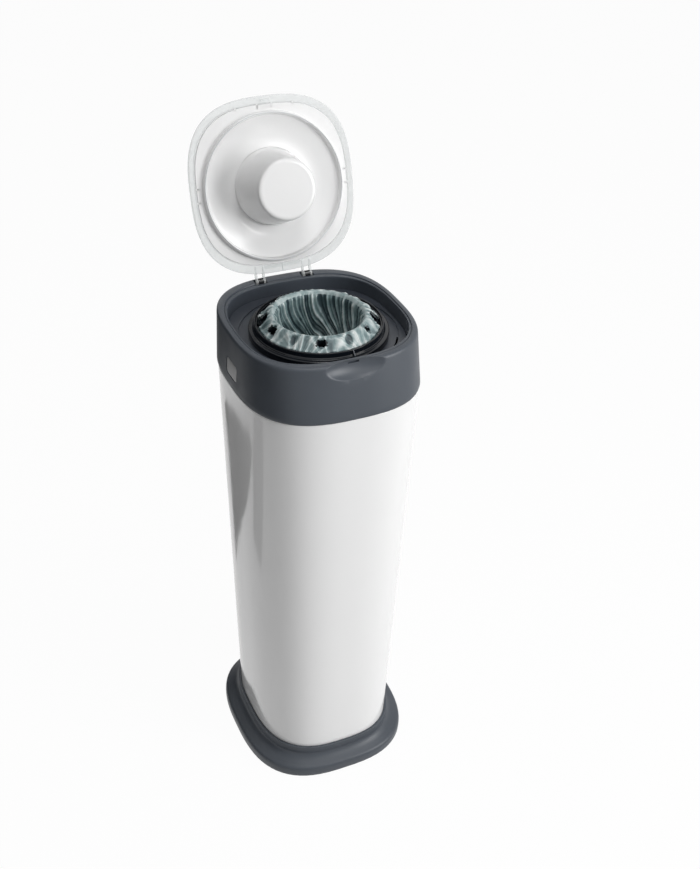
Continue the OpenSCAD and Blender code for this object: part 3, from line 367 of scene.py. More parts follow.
# Stamped blade: ground in one direction, so its marks are long lines. They are drawn 0.3 mm
# wide, which is coarser than real ones, so that they show.
ground_steel, tree, shader = moulded("ground_blade_steel", "#cfd1d4", 0.2, Metallic=1.0)
place = add_node(tree, "ShaderNodeTexCoord")
along = add_node(tree, "ShaderNodeMapping", {"Vector": place.outputs["Object"], "Scale": (1, 0.04, 1)})
lines = add_node(tree, "ShaderNodeTexNoise",
                 {"Vector": along.outputs[0], "Scale": 1000 / 0.3, "Detail": 2.0})
bump = add_node(tree, "ShaderNodeBump",
                {"Height": lines.outputs["Fac"], "Distance": 0.01 * MM, "Strength": 0.4})
tree.links.new(bump.outputs[0], shader.inputs["Normal"])

FINISH = {
    "white_gloss": glossy_abs, "charcoal": satin_pp, "charcoal_deck": deck_pp, "black_gloss": black_abs,
    "black_soft": black_pom, "grey": grey_abs, "clear_white": frosted_pp, "seal": soft_tpe,
    "rubber": black_rubber, "steel": plated_steel, "blade_steel": ground_steel, "spring_steel": spring_wire,
}
print("finishes:", len(FINISH))

# %% [markdown]
# ## Pieces that keep their solid
#
# Small parts such as clips, latches and the parts inside the head already have the right
# shape. Their meshes are loose triangles, which would show as facets. A small Geometry Nodes
# tree joins the triangles, smooths the shading across gentle angles, and keeps real edges
# sharp, without moving a single point.

# %% Soft shading for the solids
def shading_tree():
    """Joins loose triangles, smooths them and keeps the edges that are sharper than an angle."""
    tree = bpy.data.node_groups.new("soft_shading", "GeometryNodeTree")
    tree.interface.new_socket("Geometry", in_out="INPUT", socket_type="NodeSocketGeometry")
    angle = tree.interface.new_socket("Sharp angle", in_out="INPUT", socket_type="NodeSocketFloat")
    angle.default_value = math.radians(32)
    tree.interface.new_socket("Geometry", in_out="OUTPUT", socket_type="NodeSocketGeometry")
    given = add_node(tree, "NodeGroupInput")
    joined = add_node(tree, "GeometryNodeMergeByDistance",
                      {"Geometry": given.outputs[0], "Distance": 0.002 * MM})
    smooth = add_node(tree, "GeometryNodeSetShadeSmooth", {"Geometry": joined.outputs[0]}, domain="FACE")
    edge = add_node(tree, "GeometryNodeInputMeshEdgeAngle")
    is_sharp = add_node(tree, "FunctionNodeCompare", {0: edge.outputs[0], 1: given.outputs[1]},
                        data_type="FLOAT", operation="GREATER_THAN")
    kept = add_node(tree, "GeometryNodeSetShadeSmooth",
                    {"Geometry": smooth.outputs[0], "Selection": is_sharp.outputs[0], "Shade Smooth": False},
                    domain="EDGE")
    add_node(tree, "NodeGroupOutput", {0: kept.outputs[0]})
    return tree


soft_shading = shading_tree()
slot_of = {part["node"]: part["material_slot"] for part in frame["record"]["subparts"]}
for name, solid in frame["nodes"].items():
    if slot_of[name] in FINISH:
        for place in solid.material_slots:
            place.material = FINISH[slot_of[name]]
    modifier = solid.modifiers.new("soft_shading", "NODES")
    modifier.node_group = soft_shading
print("solids dressed:", len(frame["nodes"]))

# %% [markdown]
# ## Outlines and skins
#
# The tub, head, plinth and lid all share one plan shape: a rounded square that is rounder than
# a box and squarer than an ellipse, a superellipse. A box with bevelled corners would come
# close, but its arcs meet flat sides, and gloss shows where they meet. So such outlines are
# stacked, and each is joined to the next, which makes a skin. The points are spread by angle,
# so that the skin has no long facets. All sizes below are in millimetres.

# %% Outline and circle
ANGLES = np.radians(np.arange(0.5, 360, 1.0))
SQUARENESS = 2.8
AXIS_Y = -2.0


def outline(half_x, front, back, z, angles=ANGLES):
    """One closed outline, from its half width and the y of its front and back."""
    middle, half_y = (front + back) / 2, (back - front) / 2
    c, s = np.cos(angles), np.sin(angles)
    reach = (np.abs(c / half_x) ** SQUARENESS + np.abs(s / half_y) ** SQUARENESS) ** (-1 / SQUARENESS)
    return np.stack([reach * c, middle + reach * s, np.full_like(c, z)], axis=1)


def circle(radius, z, angles=ANGLES, y=AXIS_Y):
    """One ring round an upright axis: the cassette's, unless another y is given."""
    return np.stack([radius * np.cos(angles), y + radius * np.sin(angles), np.full_like(angles, z)], axis=1)


print("points in an outline:", len(ANGLES))


# %% Piece and skin
def piece(name, points_mm, faces, material, uv=None):
    """An object at the origin whose mesh holds its place."""
    mesh = bpy.data.meshes.new(name)
    mesh.from_pydata((np.asarray(points_mm, float) * MM).tolist(), [], faces)
    if uv is not None:
        layer = mesh.uv_layers.new(name="UVMap")
        corners = np.empty(len(mesh.loops), dtype=np.int32)
        mesh.loops.foreach_get("vertex_index", corners)
        layer.data.foreach_set("uv", np.asarray(uv, np.float32)[corners].ravel())
    mesh.materials.append(material)
    made = bpy.data.objects.new(name, mesh)
    bpy.context.scene.collection.objects.link(made)
    return made


def smooth(made, angle=32, outward=True):
    """Turns a closed mesh's faces outwards and smooths all but its sharp edges."""
    mesh = made.data
    if outward:
        work = bmesh.new()
        work.from_mesh(mesh)
        if work.calc_volume(signed=True) < 0:
            bmesh.ops.reverse_faces(work, faces=work.faces)
        work.to_mesh(mesh)
        work.free()
    mesh.shade_smooth()
    mesh.set_sharp_from_angle(angle=math.radians(angle))
    return made


def skin_faces(count, rings, ends):
    """Faces between rings of equal count. ends: 'open' leaves them off, 'loop' joins the last
    ring to the first, 'caps' adds a fan to a middle point at each end, which come last."""
    around = np.arange(count)
    following = (around + 1) % count
    faces = []
    for j in range(rings if ends == "loop" else rings - 1):
        a, b = j * count, ((j + 1) % rings) * count
        faces += np.stack([a + around, a + following, b + following, b + around], 1).tolist()
    if ends == "caps":
        first, last = rings * count, rings * count + 1
        top = (rings - 1) * count
        faces += np.stack([following, around, np.full(count, first)], 1).tolist()
        faces += np.stack([top + around, top + following, np.full(count, last)], 1).tolist()
    return faces


def skin(name, rings, material, ends="loop", angle=32):
    """A closed skin over a list of rings."""
    points = np.concatenate(rings)
    if ends == "caps":
        points = np.concatenate([points, rings[0].mean(0, keepdims=True), rings[-1].mean(0, keepdims=True)])
    return smooth(piece(name, points, skin_faces(len(rings[0]), len(rings), ends), material), angle)


def dress(made, body, slot, *nodes):
    """The piece rides on a body and stands for the nodes, if any. The slot is not used."""
    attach(made, body)
    if nodes:
        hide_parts(*nodes)
    print(made.name, "-", len(made.data.polygons), "faces")


# %% [markdown]
# ## The tub
#
# The real tub is one deep moulding of glossy white ABS. It widens from 173 mm at the plinth to
# 207 mm under the head, and its upper edge steps in to a spigot that the head slides over. A
# skin of outlines gives the taper and the soft corners in one go. Inside stand the four bosses
# for the plinth's screws. Windows for the latches are cut with an exact boolean, whose result
# is kept as a plain mesh.

# %% Bars, boxes and cuts
def disc(u, v, radius, count=36):
    """Corners of a round outline about (u, v)."""
    turns = np.linspace(0, 2 * math.pi, count, endpoint=False)
    return [(u + radius * math.cos(a), v + radius * math.sin(a)) for a in turns]


def prism(shape, start, end, axis):
    """A bar with a flat outline, from start to end along x, y or z."""
    order = {"x": (2, 0, 1), "y": (0, 2, 1), "z": (0, 1, 2)}[axis]
    n = len(shape)
    flat = [(u, v, start) for u, v in shape] + [(u, v, end) for u, v in shape]
    points = [tuple(p[i] for i in order) for p in flat]
    faces = [tuple(range(n))[::-1], tuple(range(n, 2 * n))]
    faces += [(i, (i + 1) % n, n + (i + 1) % n, n + i) for i in range(n)]
    return points, faces


def box_points(low, high):
    """A box from its lowest and highest corner."""
    (x0, y0, z0), (x1, y1, z1) = low, high
    points = [(x0, y0, z0), (x1, y0, z0), (x1, y1, z0), (x0, y1, z0),
              (x0, y0, z1), (x1, y0, z1), (x1, y1, z1), (x0, y1, z1)]
    faces = [(0, 3, 2, 1), (4, 5, 6, 7), (0, 1, 5, 4), (1, 2, 6, 5), (2, 3, 7, 6), (3, 0, 4, 7)]
    return points, faces


def gathered(shapes):
    """Several (points, faces) as one."""
    points, faces = [], []
    for p, f in shapes:
        faces += [tuple(i + len(points) for i in face) for face in f]
        points += list(p)
    return points, faces


def made_plain(made):
    """Puts the result of a piece's modifiers in place of its mesh."""
    bpy.context.view_layer.update()
    fresh = bpy.data.meshes.new_from_object(made.evaluated_get(bpy.context.evaluated_depsgraph_get()))
    made.modifiers.clear()
    old, made.data = made.data, fresh
    bpy.data.meshes.remove(old)


def cut(made, shapes):
    """Takes shapes out of a piece."""
    points, faces = gathered(shapes)
    cutter = smooth(piece("cutter", points, faces, made.data.materials[0]))
    work = bmesh.new()
    work.from_mesh(cutter.data)
    bmesh.ops.recalc_face_normals(work, faces=work.faces)
    work.to_mesh(cutter.data)
    work.free()
    modifier = made.modifiers.new("cut", "BOOLEAN")
    modifier.operation, modifier.solver, modifier.object = "DIFFERENCE", "EXACT", cutter
    made_plain(made)
    bpy.data.objects.remove(cutter)
    smooth(made, outward=False)


# %% Outlines of tub and head
FLOOR_Z, COLLAR_Z, HEAD_Z, RIM_Z = 12.4, 36.0, 537.0, 600.0
SEAM = 0.4
TUB_X, TUB_Y = 86.4, 101.2
TUB_WIDENS_X, TUB_WIDENS_Y = 16.9, 11.0
HEAD_X, HEAD_Y = 104.4, 113.3
HEAD_LEANS_X, HEAD_LEANS_FRONT = 2.7, 11.6
PLINTH_SCREWS = [(x, y) for x in (-51.8, 51.8) for y in (-64.8, 64.8)]
BUTTON_Y, BUTTON_Z = -6, 559.9


def tub_ring(z, inset):
    """The tub's outline at a height, drawn in by the inset."""
    t = (z - COLLAR_Z) / (HEAD_Z - SEAM - COLLAR_Z)
    half_x, half_y = TUB_X + TUB_WIDENS_X * t - inset, TUB_Y + TUB_WIDENS_Y * t - inset
    return outline(half_x, -half_y, half_y, z)


def head_ring(z, inset):
    """The head's outline at a height, drawn in by the inset."""
    t = (z - HEAD_Z) / (RIM_Z - HEAD_Z)
    front = HEAD_LEANS_FRONT * t - HEAD_Y + inset
    return outline(HEAD_X - HEAD_LEANS_X * t - inset, front, HEAD_Y - inset, z)


top = [round(2 * (half + widens), 1) for half, widens in ((TUB_X, TUB_WIDENS_X), (TUB_Y, TUB_WIDENS_Y))]
print("tub at the top:", *top, "mm")

# %% Tub
# Each line is a stretch of the profile, as (height, inset) from the floor up, over the spigot
# and down the inside
outside = [(FLOOR_Z, 2.4), (FLOOR_Z + 0.8, 0.9), (FLOOR_Z + 2.4, 0)]
outside += [(z, 0) for z in np.linspace(20, 534, 30)]
outside += [(535.6, 0), (536.2, 0.15), (536.5, 0.45), (536.6, 0.9)]
spigot = [(536.6, 3.4), (536.6, 3.0), (537.4, 3.0), (548.6, 3.0), (549.4, 3.3), (549.6, 3.8), (549.6, 5.3),
          (537, 5.3)]
inside = [(z, 2.6) for z in np.linspace(524.6, 22, 24)] + [(17, 3.4), (15.4, 6.6)]
rings = [tub_ring(*p) for p in outside] + [head_ring(*p) for p in spigot] + [tub_ring(*p) for p in inside]
tub = skin("tub_shell", rings, glossy_abs, ends="caps")
cut(tub, [box_points((x - 7, BUTTON_Y - 9, 536.9), (x + 7, BUTTON_Y + 9, 542.1)) for x in (-99.4, 99.4)])

bosses = gathered(prism(disc(x, y, 4.8), 15.2, 27.4, "z") for x, y in PLINTH_SCREWS)
dress(smooth(piece("tub_bosses", *bosses, glossy_abs)), "tub", "white_gloss")
dress(tub, "tub", "white_gloss", "tub")

# %% [markdown]
# ## The plinth
#
# The plinth is a separate moulding of charcoal polypropylene. Its collar grips the tub, and a
# hollow curve runs out from it to a broad rounded edge. The curve is a smooth line through a
# few points, so that one number moves a whole stretch of it. Underneath, the moulding is a thin
# shell with crossing ribs, which a Geometry Nodes tree lays out from their number and spacing.

# %% Smooth line
def curve_through(points, per):
    """A smooth line through the points (centripetal Catmull-Rom), with some steps per point."""
    p = np.asarray(points, float)
    p = np.concatenate([[2 * p[0] - p[1]], p, [2 * p[-1] - p[-2]]])
    out = [p[1]]
    for i in range(1, len(p) - 2):
        t0 = 0.0
        t1 = t0 + max(np.linalg.norm(p[i] - p[i - 1]) ** 0.5, 1e-6)
        t2 = t1 + max(np.linalg.norm(p[i + 1] - p[i]) ** 0.5, 1e-6)
        t3 = t2 + max(np.linalg.norm(p[i + 2] - p[i + 1]) ** 0.5, 1e-6)
        for k in range(1, per + 1):
            t = t1 + (t2 - t1) * k / per
            a1 = (t1 - t) / (t1 - t0) * p[i - 1] + (t - t0) / (t1 - t0) * p[i]
            a2 = (t2 - t) / (t2 - t1) * p[i] + (t - t1) / (t2 - t1) * p[i + 1]
            a3 = (t3 - t) / (t3 - t2) * p[i + 1] + (t - t2) / (t3 - t2) * p[i + 2]
            b1 = (t2 - t) / (t2 - t0) * a1 + (t - t0) / (t2 - t0) * a2
            b2 = (t3 - t) / (t3 - t1) * a2 + (t - t1) / (t3 - t1) * a3
            out.append((t2 - t) / (t2 - t1) * b1 + (t - t1) / (t2 - t1) * b2)
    return np.array(out)


# %% Plinth shell
COLLAR_WALL, PLINTH_WALL = 2.8, 2.4
COLLAR_X, COLLAR_Y = TUB_X + SEAM + COLLAR_WALL, TUB_Y + SEAM + COLLAR_WALL
PLINTH_X, PLINTH_Y = 107.2, 118.5
FLARE = 17.6


def plinth_ring(f, z):
    """The plinth's outline: f is 0 at the collar and 1 at the edge."""
    half_y = COLLAR_Y + (PLINTH_Y - COLLAR_Y) * f
    return outline(COLLAR_X + (PLINTH_X - COLLAR_X) * f, -half_y, half_y, z)


flare = [(0.955, 1.2), (0.985, 2.6), (1.0, 7.0), (0.985, 11.5), (0.91, 14.0)]
flare += [(0.86 * (1 - t) ** 2.4, 15.0 + 14.0 * t) for t in (0.12, 0.34, 0.56, 0.78)]
flare += [(0.02, 29.5), (0.0, 35.0)]
rings = [plinth_ring(x / FLARE, z) for x, z in curve_through([(f * FLARE, z) for f, z in flare], per=6)]
rings += [plinth_ring(-0.01, 35.7), plinth_ring(-0.04, 36)]
rings += [tub_ring(36, -0.45), tub_ring(35.6, -SEAM), tub_ring(14.8, -SEAM), tub_ring(12, -SEAM)]
thin = PLINTH_WALL / FLARE
hollow = [(0, 9.6), (0.02, 20.4), (0.26, 17.4), (0.58, 14.2), (0.97 - thin, 10.4), (1 - thin, 6.3),
          (1 - 1.2 * thin, 1.2)]
plinth = skin("plinth_shell", [plinth_ring(*p) for p in hollow] + rings, satin_pp, ends="caps")
dress(plinth, "tub", "charcoal", "plinth")


# %% Tree for a row of ribs
def row_tree():
    """Bars of one size, repeated along a line."""
    tree = bpy.data.node_groups.new("rib_row", "GeometryNodeTree")
    sockets = {"Geometry": "Geometry", "Count": "Int", "Start": "Vector", "Step": "Vector", "Size": "Vector",
               "Material": "Material"}
    for name, kind in sockets.items():
        tree.interface.new_socket(name, in_out="INPUT", socket_type="NodeSocket" + kind)
    tree.interface.new_socket("Geometry", in_out="OUTPUT", socket_type="NodeSocketGeometry")
    given = add_node(tree, "NodeGroupInput")
    row = add_node(tree, "GeometryNodeMeshLine",
                   {"Count": given.outputs["Count"], "Start Location": given.outputs["Start"],
                    "Offset": given.outputs["Step"]}, mode="OFFSET")
    bar = add_node(tree, "GeometryNodeMeshCube", {"Size": given.outputs["Size"]})
    bars = add_node(tree, "GeometryNodeInstanceOnPoints",
                    {"Points": row.outputs[0], "Instance": bar.outputs[0]})
    real = add_node(tree, "GeometryNodeRealizeInstances", {"Geometry": bars.outputs[0]})
    painted = add_node(tree, "GeometryNodeSetMaterial",
                       {"Geometry": real.outputs[0], "Material": given.outputs["Material"]})
    add_node(tree, "NodeGroupOutput", {0: painted.outputs[0]})
    return tree


def run_tree(name, tree, **inputs):
    """Runs a Geometry Nodes tree on an empty mesh and returns the result as a plain piece."""
    holder = bpy.data.objects.new(name, bpy.data.meshes.new(name))
    bpy.context.scene.collection.objects.link(holder)
    modifier = holder.modifiers.new("nodes", "NODES")
    modifier.node_group = tree
    sockets = {item.name: item.identifier for item in tree.interface.items_tree if item.in_out == "INPUT"}
    for key, value in inputs.items():
        modifier[sockets[key]] = value
    made_plain(holder)
    holder.data.name = name
    return holder


# %% Ribs and screw bosses underneath
RIB_WALL, RIB_X, RIB_Y = 2.4, 35.7, 39.5
ribs = row_tree()
# The ribs draw in by 12 mm towards the floor, where the plinth's wall does too
for ending, middle_z, height, draws_in in (("", 7.7, 4.2, 0), ("_foot", 3.4, 4.4, 12)):
    for way, start, step, size in (
            ("long", (-RIB_X, 0, middle_z), (2 * RIB_X, 0, 0), (RIB_WALL, 226 - draws_in, height)),
            ("cross", (0, -RIB_Y, middle_z), (0, 2 * RIB_Y, 0), (204 - draws_in, RIB_WALL, height))):
        row = run_tree("plinth_ribs_" + way + ending, ribs, Count=2, Start=[v * MM for v in start],
                       Step=[v * MM for v in step], Size=[v * MM for v in size], Material=satin_pp)
        dress(row, "tub", "charcoal")

CUP = [(4.2, 8.8), (4.2, 1.2), (5.0, 1.2), (5.0, 9.7)]
for x, y in PLINTH_SCREWS:
    rings = [circle(r, z, np.radians(range(0, 360, 10)), y) + (x, 0, 0) for r, z in CUP]
    dress(skin("plinth_boss", rings, satin_pp, ends="caps"), "tub", "charcoal")

# %% [markdown]
# ## The head
#
# The head is the dark housing on top. Its side walls lean in a little and its front wall leans
# in more. Its top edge is rounded to a flat rim, with a fine step line across it. At the front
# a finger scoop is pressed into the edge. Cutting the scoop with a boolean would leave knife
# edges, so the points near it are pushed out to the scoop's surface instead, with a soft blend
# where the two meet. Only the small openings, which are sharp on the real head, are cut.

# %% Rounded lines
def softened(corners, steps=5):
    """A line through corners, each rounded by about the radius in its last place."""
    points = [np.array(corner[:-1], float) for corner in corners]
    out = [points[0]]
    for before, at, after, corner in zip(points, points[1:], points[2:], corners[1:]):
        if corner[-1] <= 0:
            out.append(at)
            continue
        a, b = before - at, after - at
        la, lb = np.linalg.norm(a[:2]), np.linalg.norm(b[:2])
        start_at = min(corner[-1], 0.49 * la, 0.49 * lb)
        start, end = at + a / la * start_at, at + b / lb * start_at
        for t in np.linspace(0, 1, steps):
            out.append((1 - t) ** 2 * start + 2 * t * (1 - t) * at + t ** 2 * end)
    out.append(points[-1])
    return np.array(out)


def filled(points, spacing):
    """The same line with extra points, so that no step is longer than the spacing."""
    out = [points[0]]
    for a, b in zip(points[:-1], points[1:]):
        n = max(1, int(math.ceil(np.linalg.norm((b - a)[:2]) / spacing)))
        out += [a + (b - a) * k / n for k in range(1, n + 1)]
    return np.array(out)


def rounded_box(width, height, radius, steps=8):
    """Corners of a rounded rectangle round the origin, anticlockwise."""
    out = []
    for k, (sx, sy) in enumerate(((1, 1), (-1, 1), (-1, -1), (1, -1))):
        for t in np.radians(np.linspace(90 * k, 90 * k + 90, steps)):
            out.append((sx * (width / 2 - radius) + radius * math.cos(t),
                        sy * (height / 2 - radius) + radius * math.sin(t)))
    return out


# %% Profile of the head
# The points lie closer together across the front, where the scoop needs them
front = np.arange(-118, -62, 0.55)
rest = np.arange(-62, 242, 1.05)
HEAD_ANGLES = np.radians(np.concatenate([front, rest[rest < 241.6]]))

# The way in from the outside at the sides, and the matching ones at the front and the back
AT_SIDE = [0, 3.6, 6.3, 6.7, 8.3, 8.9, 30]
AT_FRONT = [0, 3.6, 6.0, 6.4, 11.2, 11.8, 32.9]
AT_BACK = [0, 3.6, 12.0, 12.4, 18.4, 19.0, 40.1]


def housing_ring(inset, z, lean_z):
    """The head's outline at height z, leaning in as far as the wall does at lean_z."""
    t = (lean_z - HEAD_Z) / (RIM_Z - HEAD_Z)
    return outline(HEAD_X - HEAD_LEANS_X * t - inset,
                   HEAD_LEANS_FRONT * t - HEAD_Y + np.interp(inset, AT_SIDE, AT_FRONT),
                   HEAD_Y - np.interp(inset, AT_SIDE, AT_BACK), z, angles=HEAD_ANGLES)


# (inset, z, lean_z, radius): up the wall, over the rim and its step line, down to the deck
over = [(0.8, 537, 537, 0), (0, 537.9, 537.9, 0.5), (0, 596.0, 596.0, 3), (0.15, 597.8, 597.8, 1),
        (1.1, 599.4, 599.4, 1), (3.7, 600, 600, 1.2), (6.2, 600, 600, 0.25), (6.5, 598.5, 600, 0.1),
        (7.0, 598.5, 600, 0.1), (7.3, 599.3, 600, 0.3), (8.6, 599.2, 600, 0.8), (9.0, 597.4, 600, 0.9),
        (9.9, 580.5, 600, 0.2), (13.9, 580.5, 600, 0)]
under = [(13.9, 580.5, 600), (13.9, 574, 600), (2.6, 574, 574), (2.6, 537, 537), (0.8, 537, 537)]
over = filled(softened(over), 0.8)
under = filled(np.array(under, float), 6.0)
# The plain wall below the scoop needs only every sixth ring
plain = (over[:, 1] < 582) & (over[:, 0] < 1)
over = over[~plain | (np.arange(len(over)) % 6 == 0)]
rings = [housing_ring(*p) for p in np.concatenate([over, under[1:-1]])]
print("rings in the head's skin:", len(rings))

# %% Head housing
SCOOP_Y, SCOOP_Z, SCOOP_R, SCOOP_HALF = -110.5, 597.0, 16.2, 41.5
SCOOP_BLEND = 0.9
NEAR_X, NEAR_R = SCOOP_HALF + 6, SCOOP_R + 8
HINGE_X = 28.6


def scooped(points):
    """Pushes the points that lie in the scoop's long ellipsoid out to its surface."""
    off_middle = np.abs(points[:, 0])
    reach = SCOOP_R * np.sqrt(np.clip(1 - (points[:, 0] / SCOOP_HALF) ** 2, 0, 1))
    dy, dz = points[:, 1] - SCOOP_Y, points[:, 2] - SCOOP_Z
    d = np.hypot(dy, dz)
    wanted = (d + reach + np.sqrt((d - reach) ** 2 + SCOOP_BLEND ** 2)) / 2
    near = (off_middle < NEAR_X) & (d < NEAR_R) & (points[:, 1] < -60)
    fade = np.clip((NEAR_R - d) / 4, 0, 1) * np.clip((NEAR_X - off_middle) / 5, 0, 1)
    grow = np.where(near, 1 + (wanted / np.maximum(d, 1e-6) - 1) * fade, 1.0)
    out = points.copy()
    out[:, 1] = SCOOP_Y + dy * grow
    out[:, 2] = np.minimum(SCOOP_Z + dz * grow, RIM_Z)
    return out


head = skin("head_housing", [scooped(ring) for ring in rings], satin_pp, angle=40)
catch_slit = box_points((-6.2, -97.34, 595.9), (6.2, -92.44, 598.3))
hinge_pockets = [box_points((s * HINGE_X - 7.4, 96.9, 590), (s * HINGE_X + 7.4, 107.7, 612)) for s in (-1, 1)]
window = [(BUTTON_Y + y, BUTTON_Z + z) for y, z in rounded_box(31, 20, 5)]
windows = [prism(window, start, start + 30, "x") for start in (-118, 88)]
cut(head, [catch_slit] + hinge_pockets + windows)
dress(head, "head", "charcoal", "head_shell")

# %% [markdown]
# ## The release buttons
#
# A light grey button sits in each side of the head and is pressed to free it. Its face follows
# the head's wall and swells a little in the middle, with a small radius round its edge. A
# bevelled box would give the radius but not the swelling face, so it is built as shrinking
# rounded rectangles, each a little further out. Behind it a coil of spring wire pushes it
# back. The coil is a helix.

# %% Buttons
SIDES = {"left": -1, "right": 1}
BUTTON_W, BUTTON_H, BUTTON_X = 30, 19, 103.12
WALL_SLOPE = 0.043
# (inset, how far out): from the back edge over the rounded rim to the swelling middle
BUTTON_FACE = [(0, -2.4), (0, -0.75), (0.12, -0.35), (0.45, -0.08), (0.9, 0.02), (3.0, 0.12), (6.5, 0.18)]


def button(name, sign):
    rings = []
    for inset, out in BUTTON_FACE:
        shape = rounded_box(BUTTON_W - 2 * inset, BUTTON_H - 2 * inset, max(4.5 - inset, 0.9), steps=10)
        rings.append(np.array([(sign * (BUTTON_X + out - WALL_SLOPE * z), BUTTON_Y + y, BUTTON_Z + z)
                               for y, z in shape]))
    return skin(name, rings, grey_abs, ends="caps", angle=50)


for side, sign in SIDES.items():
    dress(button("button_cap_" + side, sign), "button_" + side, "grey", "button_" + side)


# %% Return springs
def coil(name, start, length, radius, wire, turns):
    """A helix of round wire along x. start is the low end of its axis, wire the wire's radius."""
    section = np.linspace(0, 2 * math.pi, 8, endpoint=False)
    t = np.linspace(0, turns * 2 * math.pi, turns * 20 + 1)
    travel = length - 2 * wire
    rings = []
    for a in t:
        out = np.array([0, math.cos(a), math.sin(a)])
        at = np.array(start) + radius * out + (wire + travel * a / t[-1], 0, 0)
        rings.append(np.array([at + wire * (math.cos(b) * out + (math.sin(b), 0, 0)) for b in section]))
    return skin(name, rings, spring_wire, ends="caps", angle=60)


for side, sign in SIDES.items():
    node, body = "button_spring_" + side, "button_" + side
    low, high = (np.array(corner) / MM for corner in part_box(node))
    middle, length = (low + high) / 2, high[0] - low[0]
    print(node, "from", low.round(2), "to", high.round(2))
    spring = coil("spring_coil_" + side, (low[0], middle[1], middle[2]), length, 1.6, 0.4, 6)
    dress(spring, body, "spring_steel", node)
    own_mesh(spring)

# %% [markdown]
# ## The turning ring
#
# The ring that holds the film cassette is turned after each use, which twists the film shut. It
# is a body of revolution in glossy black: a flange that lies in the deck's round well, and a
# raised rim. A Screw modifier could spin its outline, but would need an extra object to mark
# the cassette's axis, which lies 2 mm in front of the origin. So the rings of points are worked
# out round that axis. A small raised pointer on the rim shows how far the ring has been turned.
# It is in the lighter charcoal plastic, which paints a small grey highlight on the black ring.

# %% Carousel
RING_ANGLES = np.radians(np.arange(0, 360, 1.5))


def spun(name, profile, material):
    """A body of revolution round the cassette's axis, from a line of (radius, z)."""
    return skin(name, [circle(r, z, RING_ANGLES) for r, z in profile], material)


# (radius, z, rounding): out under the ring, up round the flange and the rim, back down inside
RING = [(48.8, 552.9, 0), (74.4, 552.9, 0), (74.4, 582.9, 0), (76.7, 582.9, 0), (77.2, 583.7, 0.2),
        (77.2, 589.6, 0.9), (76.4, 590.4, 0.5), (72.8, 590.4, 0.8), (72.4, 591.6, 0.5), (71.6, 592.2, 0.4),
        (71.0, 597.1, 0.5), (70.5, 597.6, 0.2), (69.5, 597.6, 0.25), (69.5, 555.9, 0), (48.8, 555.9, 0),
        (48.8, 554.4, 0)]
ring = spun("carousel_ring", softened(RING, steps=4), black_abs)
dress(ring, "carousel", "black_gloss", "carousel")

# %% Pointer on the ring
# Painted highlight: the pointer is charcoal, lighter than the black ring, so that it stands for the grey
# highlight on its glossy edge
POINTER_TURN = math.radians(-82.2)
POINTER_FOOT, POINTER_TOP, POINTER_SLOPE = 590.2, 596.9, 1.35
POINTER_SHAPE = [(-0.55, 71.2), (0.55, 71.2), (0.4, 75.2), (-0.4, 75.2)]
c, s = math.cos(POINTER_TURN), math.sin(POINTER_TURN)
feet = [(r * c - across * s, r * s + across * c + AXIS_Y, POINTER_FOOT) for across, r in POINTER_SHAPE]
tops = [(x, y, POINTER_TOP - (r - POINTER_SHAPE[0][1]) * POINTER_SLOPE)
        for (x, y, foot), (across, r) in zip(feet, POINTER_SHAPE)]
faces = [(0, 1, 2, 3), (7, 6, 5, 4), (0, 4, 5, 1), (1, 5, 6, 2), (2, 6, 7, 3), (3, 7, 4, 0)]
dress(smooth(piece("ring_pointer_painted_highlight", feet + tops, faces, satin_pp)), "carousel", "charcoal")

# %% Cassette
CHANNEL = [(50.0, 556.1, 0), (69.2, 556.1, 0.3), (69.2, 595.8, 0.3), (67.7, 595.8, 0.3), (67.7, 557.6, 0.3),
           (51.5, 557.6, 0.3), (51.5, 585.6, 0.3), (50.0, 585.6, 0.3), (50.0, 570, 0)]
channel = spun("cassette_channel", softened(CHANNEL, steps=3), black_abs)
dress(channel, "carousel", "black_gloss", "cassette_tub")

# %% [markdown]
# ## The film
#
# Film comes up from the cassette, is drawn over a crown with twelve openings, and hangs down
# the throat in pleats to where it was last tied. It is the one soft thing on the bin, and it is
# a thin sheet: tight and creased over the crown, open or slack at each opening, and gathered
# ever more tightly as the throat narrows. A cloth simulation could gather such a sheet, but
# would leave the place of each pleat to chance. Here one line of radius and height gives its
# path, and the creases, the slack and the pleats are waves added across that line, so the sheet
# stays in one piece. Where it is pulled clear of an opening, its faces are left out and the
# dark crown shows.

# %% Path of the film
PATH = [(66.4, 584.6), (66.4, 596.0), (64.1, 597.6), (56.4, 605.8), (53.4, 607.3), (51.9, 607.7),
        (50.3, 606.9), (49.2, 604.4), (48.6, 593.6), (46.4, 579.6), (41.8, 558.1), (36.8, 550.1),
        (21.5, 546.8), (14.5, 537.55), (12.1, 527.1), (10.9, 514.4), (6.4, 511.4), (7.6, 507.4), (5.0, 504.4)]
SIDE_RUN = 10.5
path = curve_through(PATH, per=12)
run = np.concatenate([[0], np.cumsum(np.linalg.norm(np.diff(path, axis=0), axis=1))])
crown_run = run[np.argmax((path[:, 0] < 49.5) & (path[:, 1] < 604))]
# Rows of points up the cassette's side, over the crown and down the throat
rows_at = np.concatenate([np.linspace(0, SIDE_RUN, 9)[:-1], np.linspace(SIDE_RUN, crown_run, 46)[:-1],
                          np.linspace(crown_run, run[-1], 98)])
path = np.stack([np.interp(rows_at, run, path[:, 0]), np.interp(rows_at, run, path[:, 1])], axis=1)
FILM_ANGLES = np.linspace(0, 2 * math.pi, 620, endpoint=False)

# %% Creases and pleats
r0, z0 = path[:, 0:1], path[:, 1:2]
down = np.linspace(0, 1, len(path))[:, None]
turn = np.tile(FILM_ANGLES, (len(path), 1))
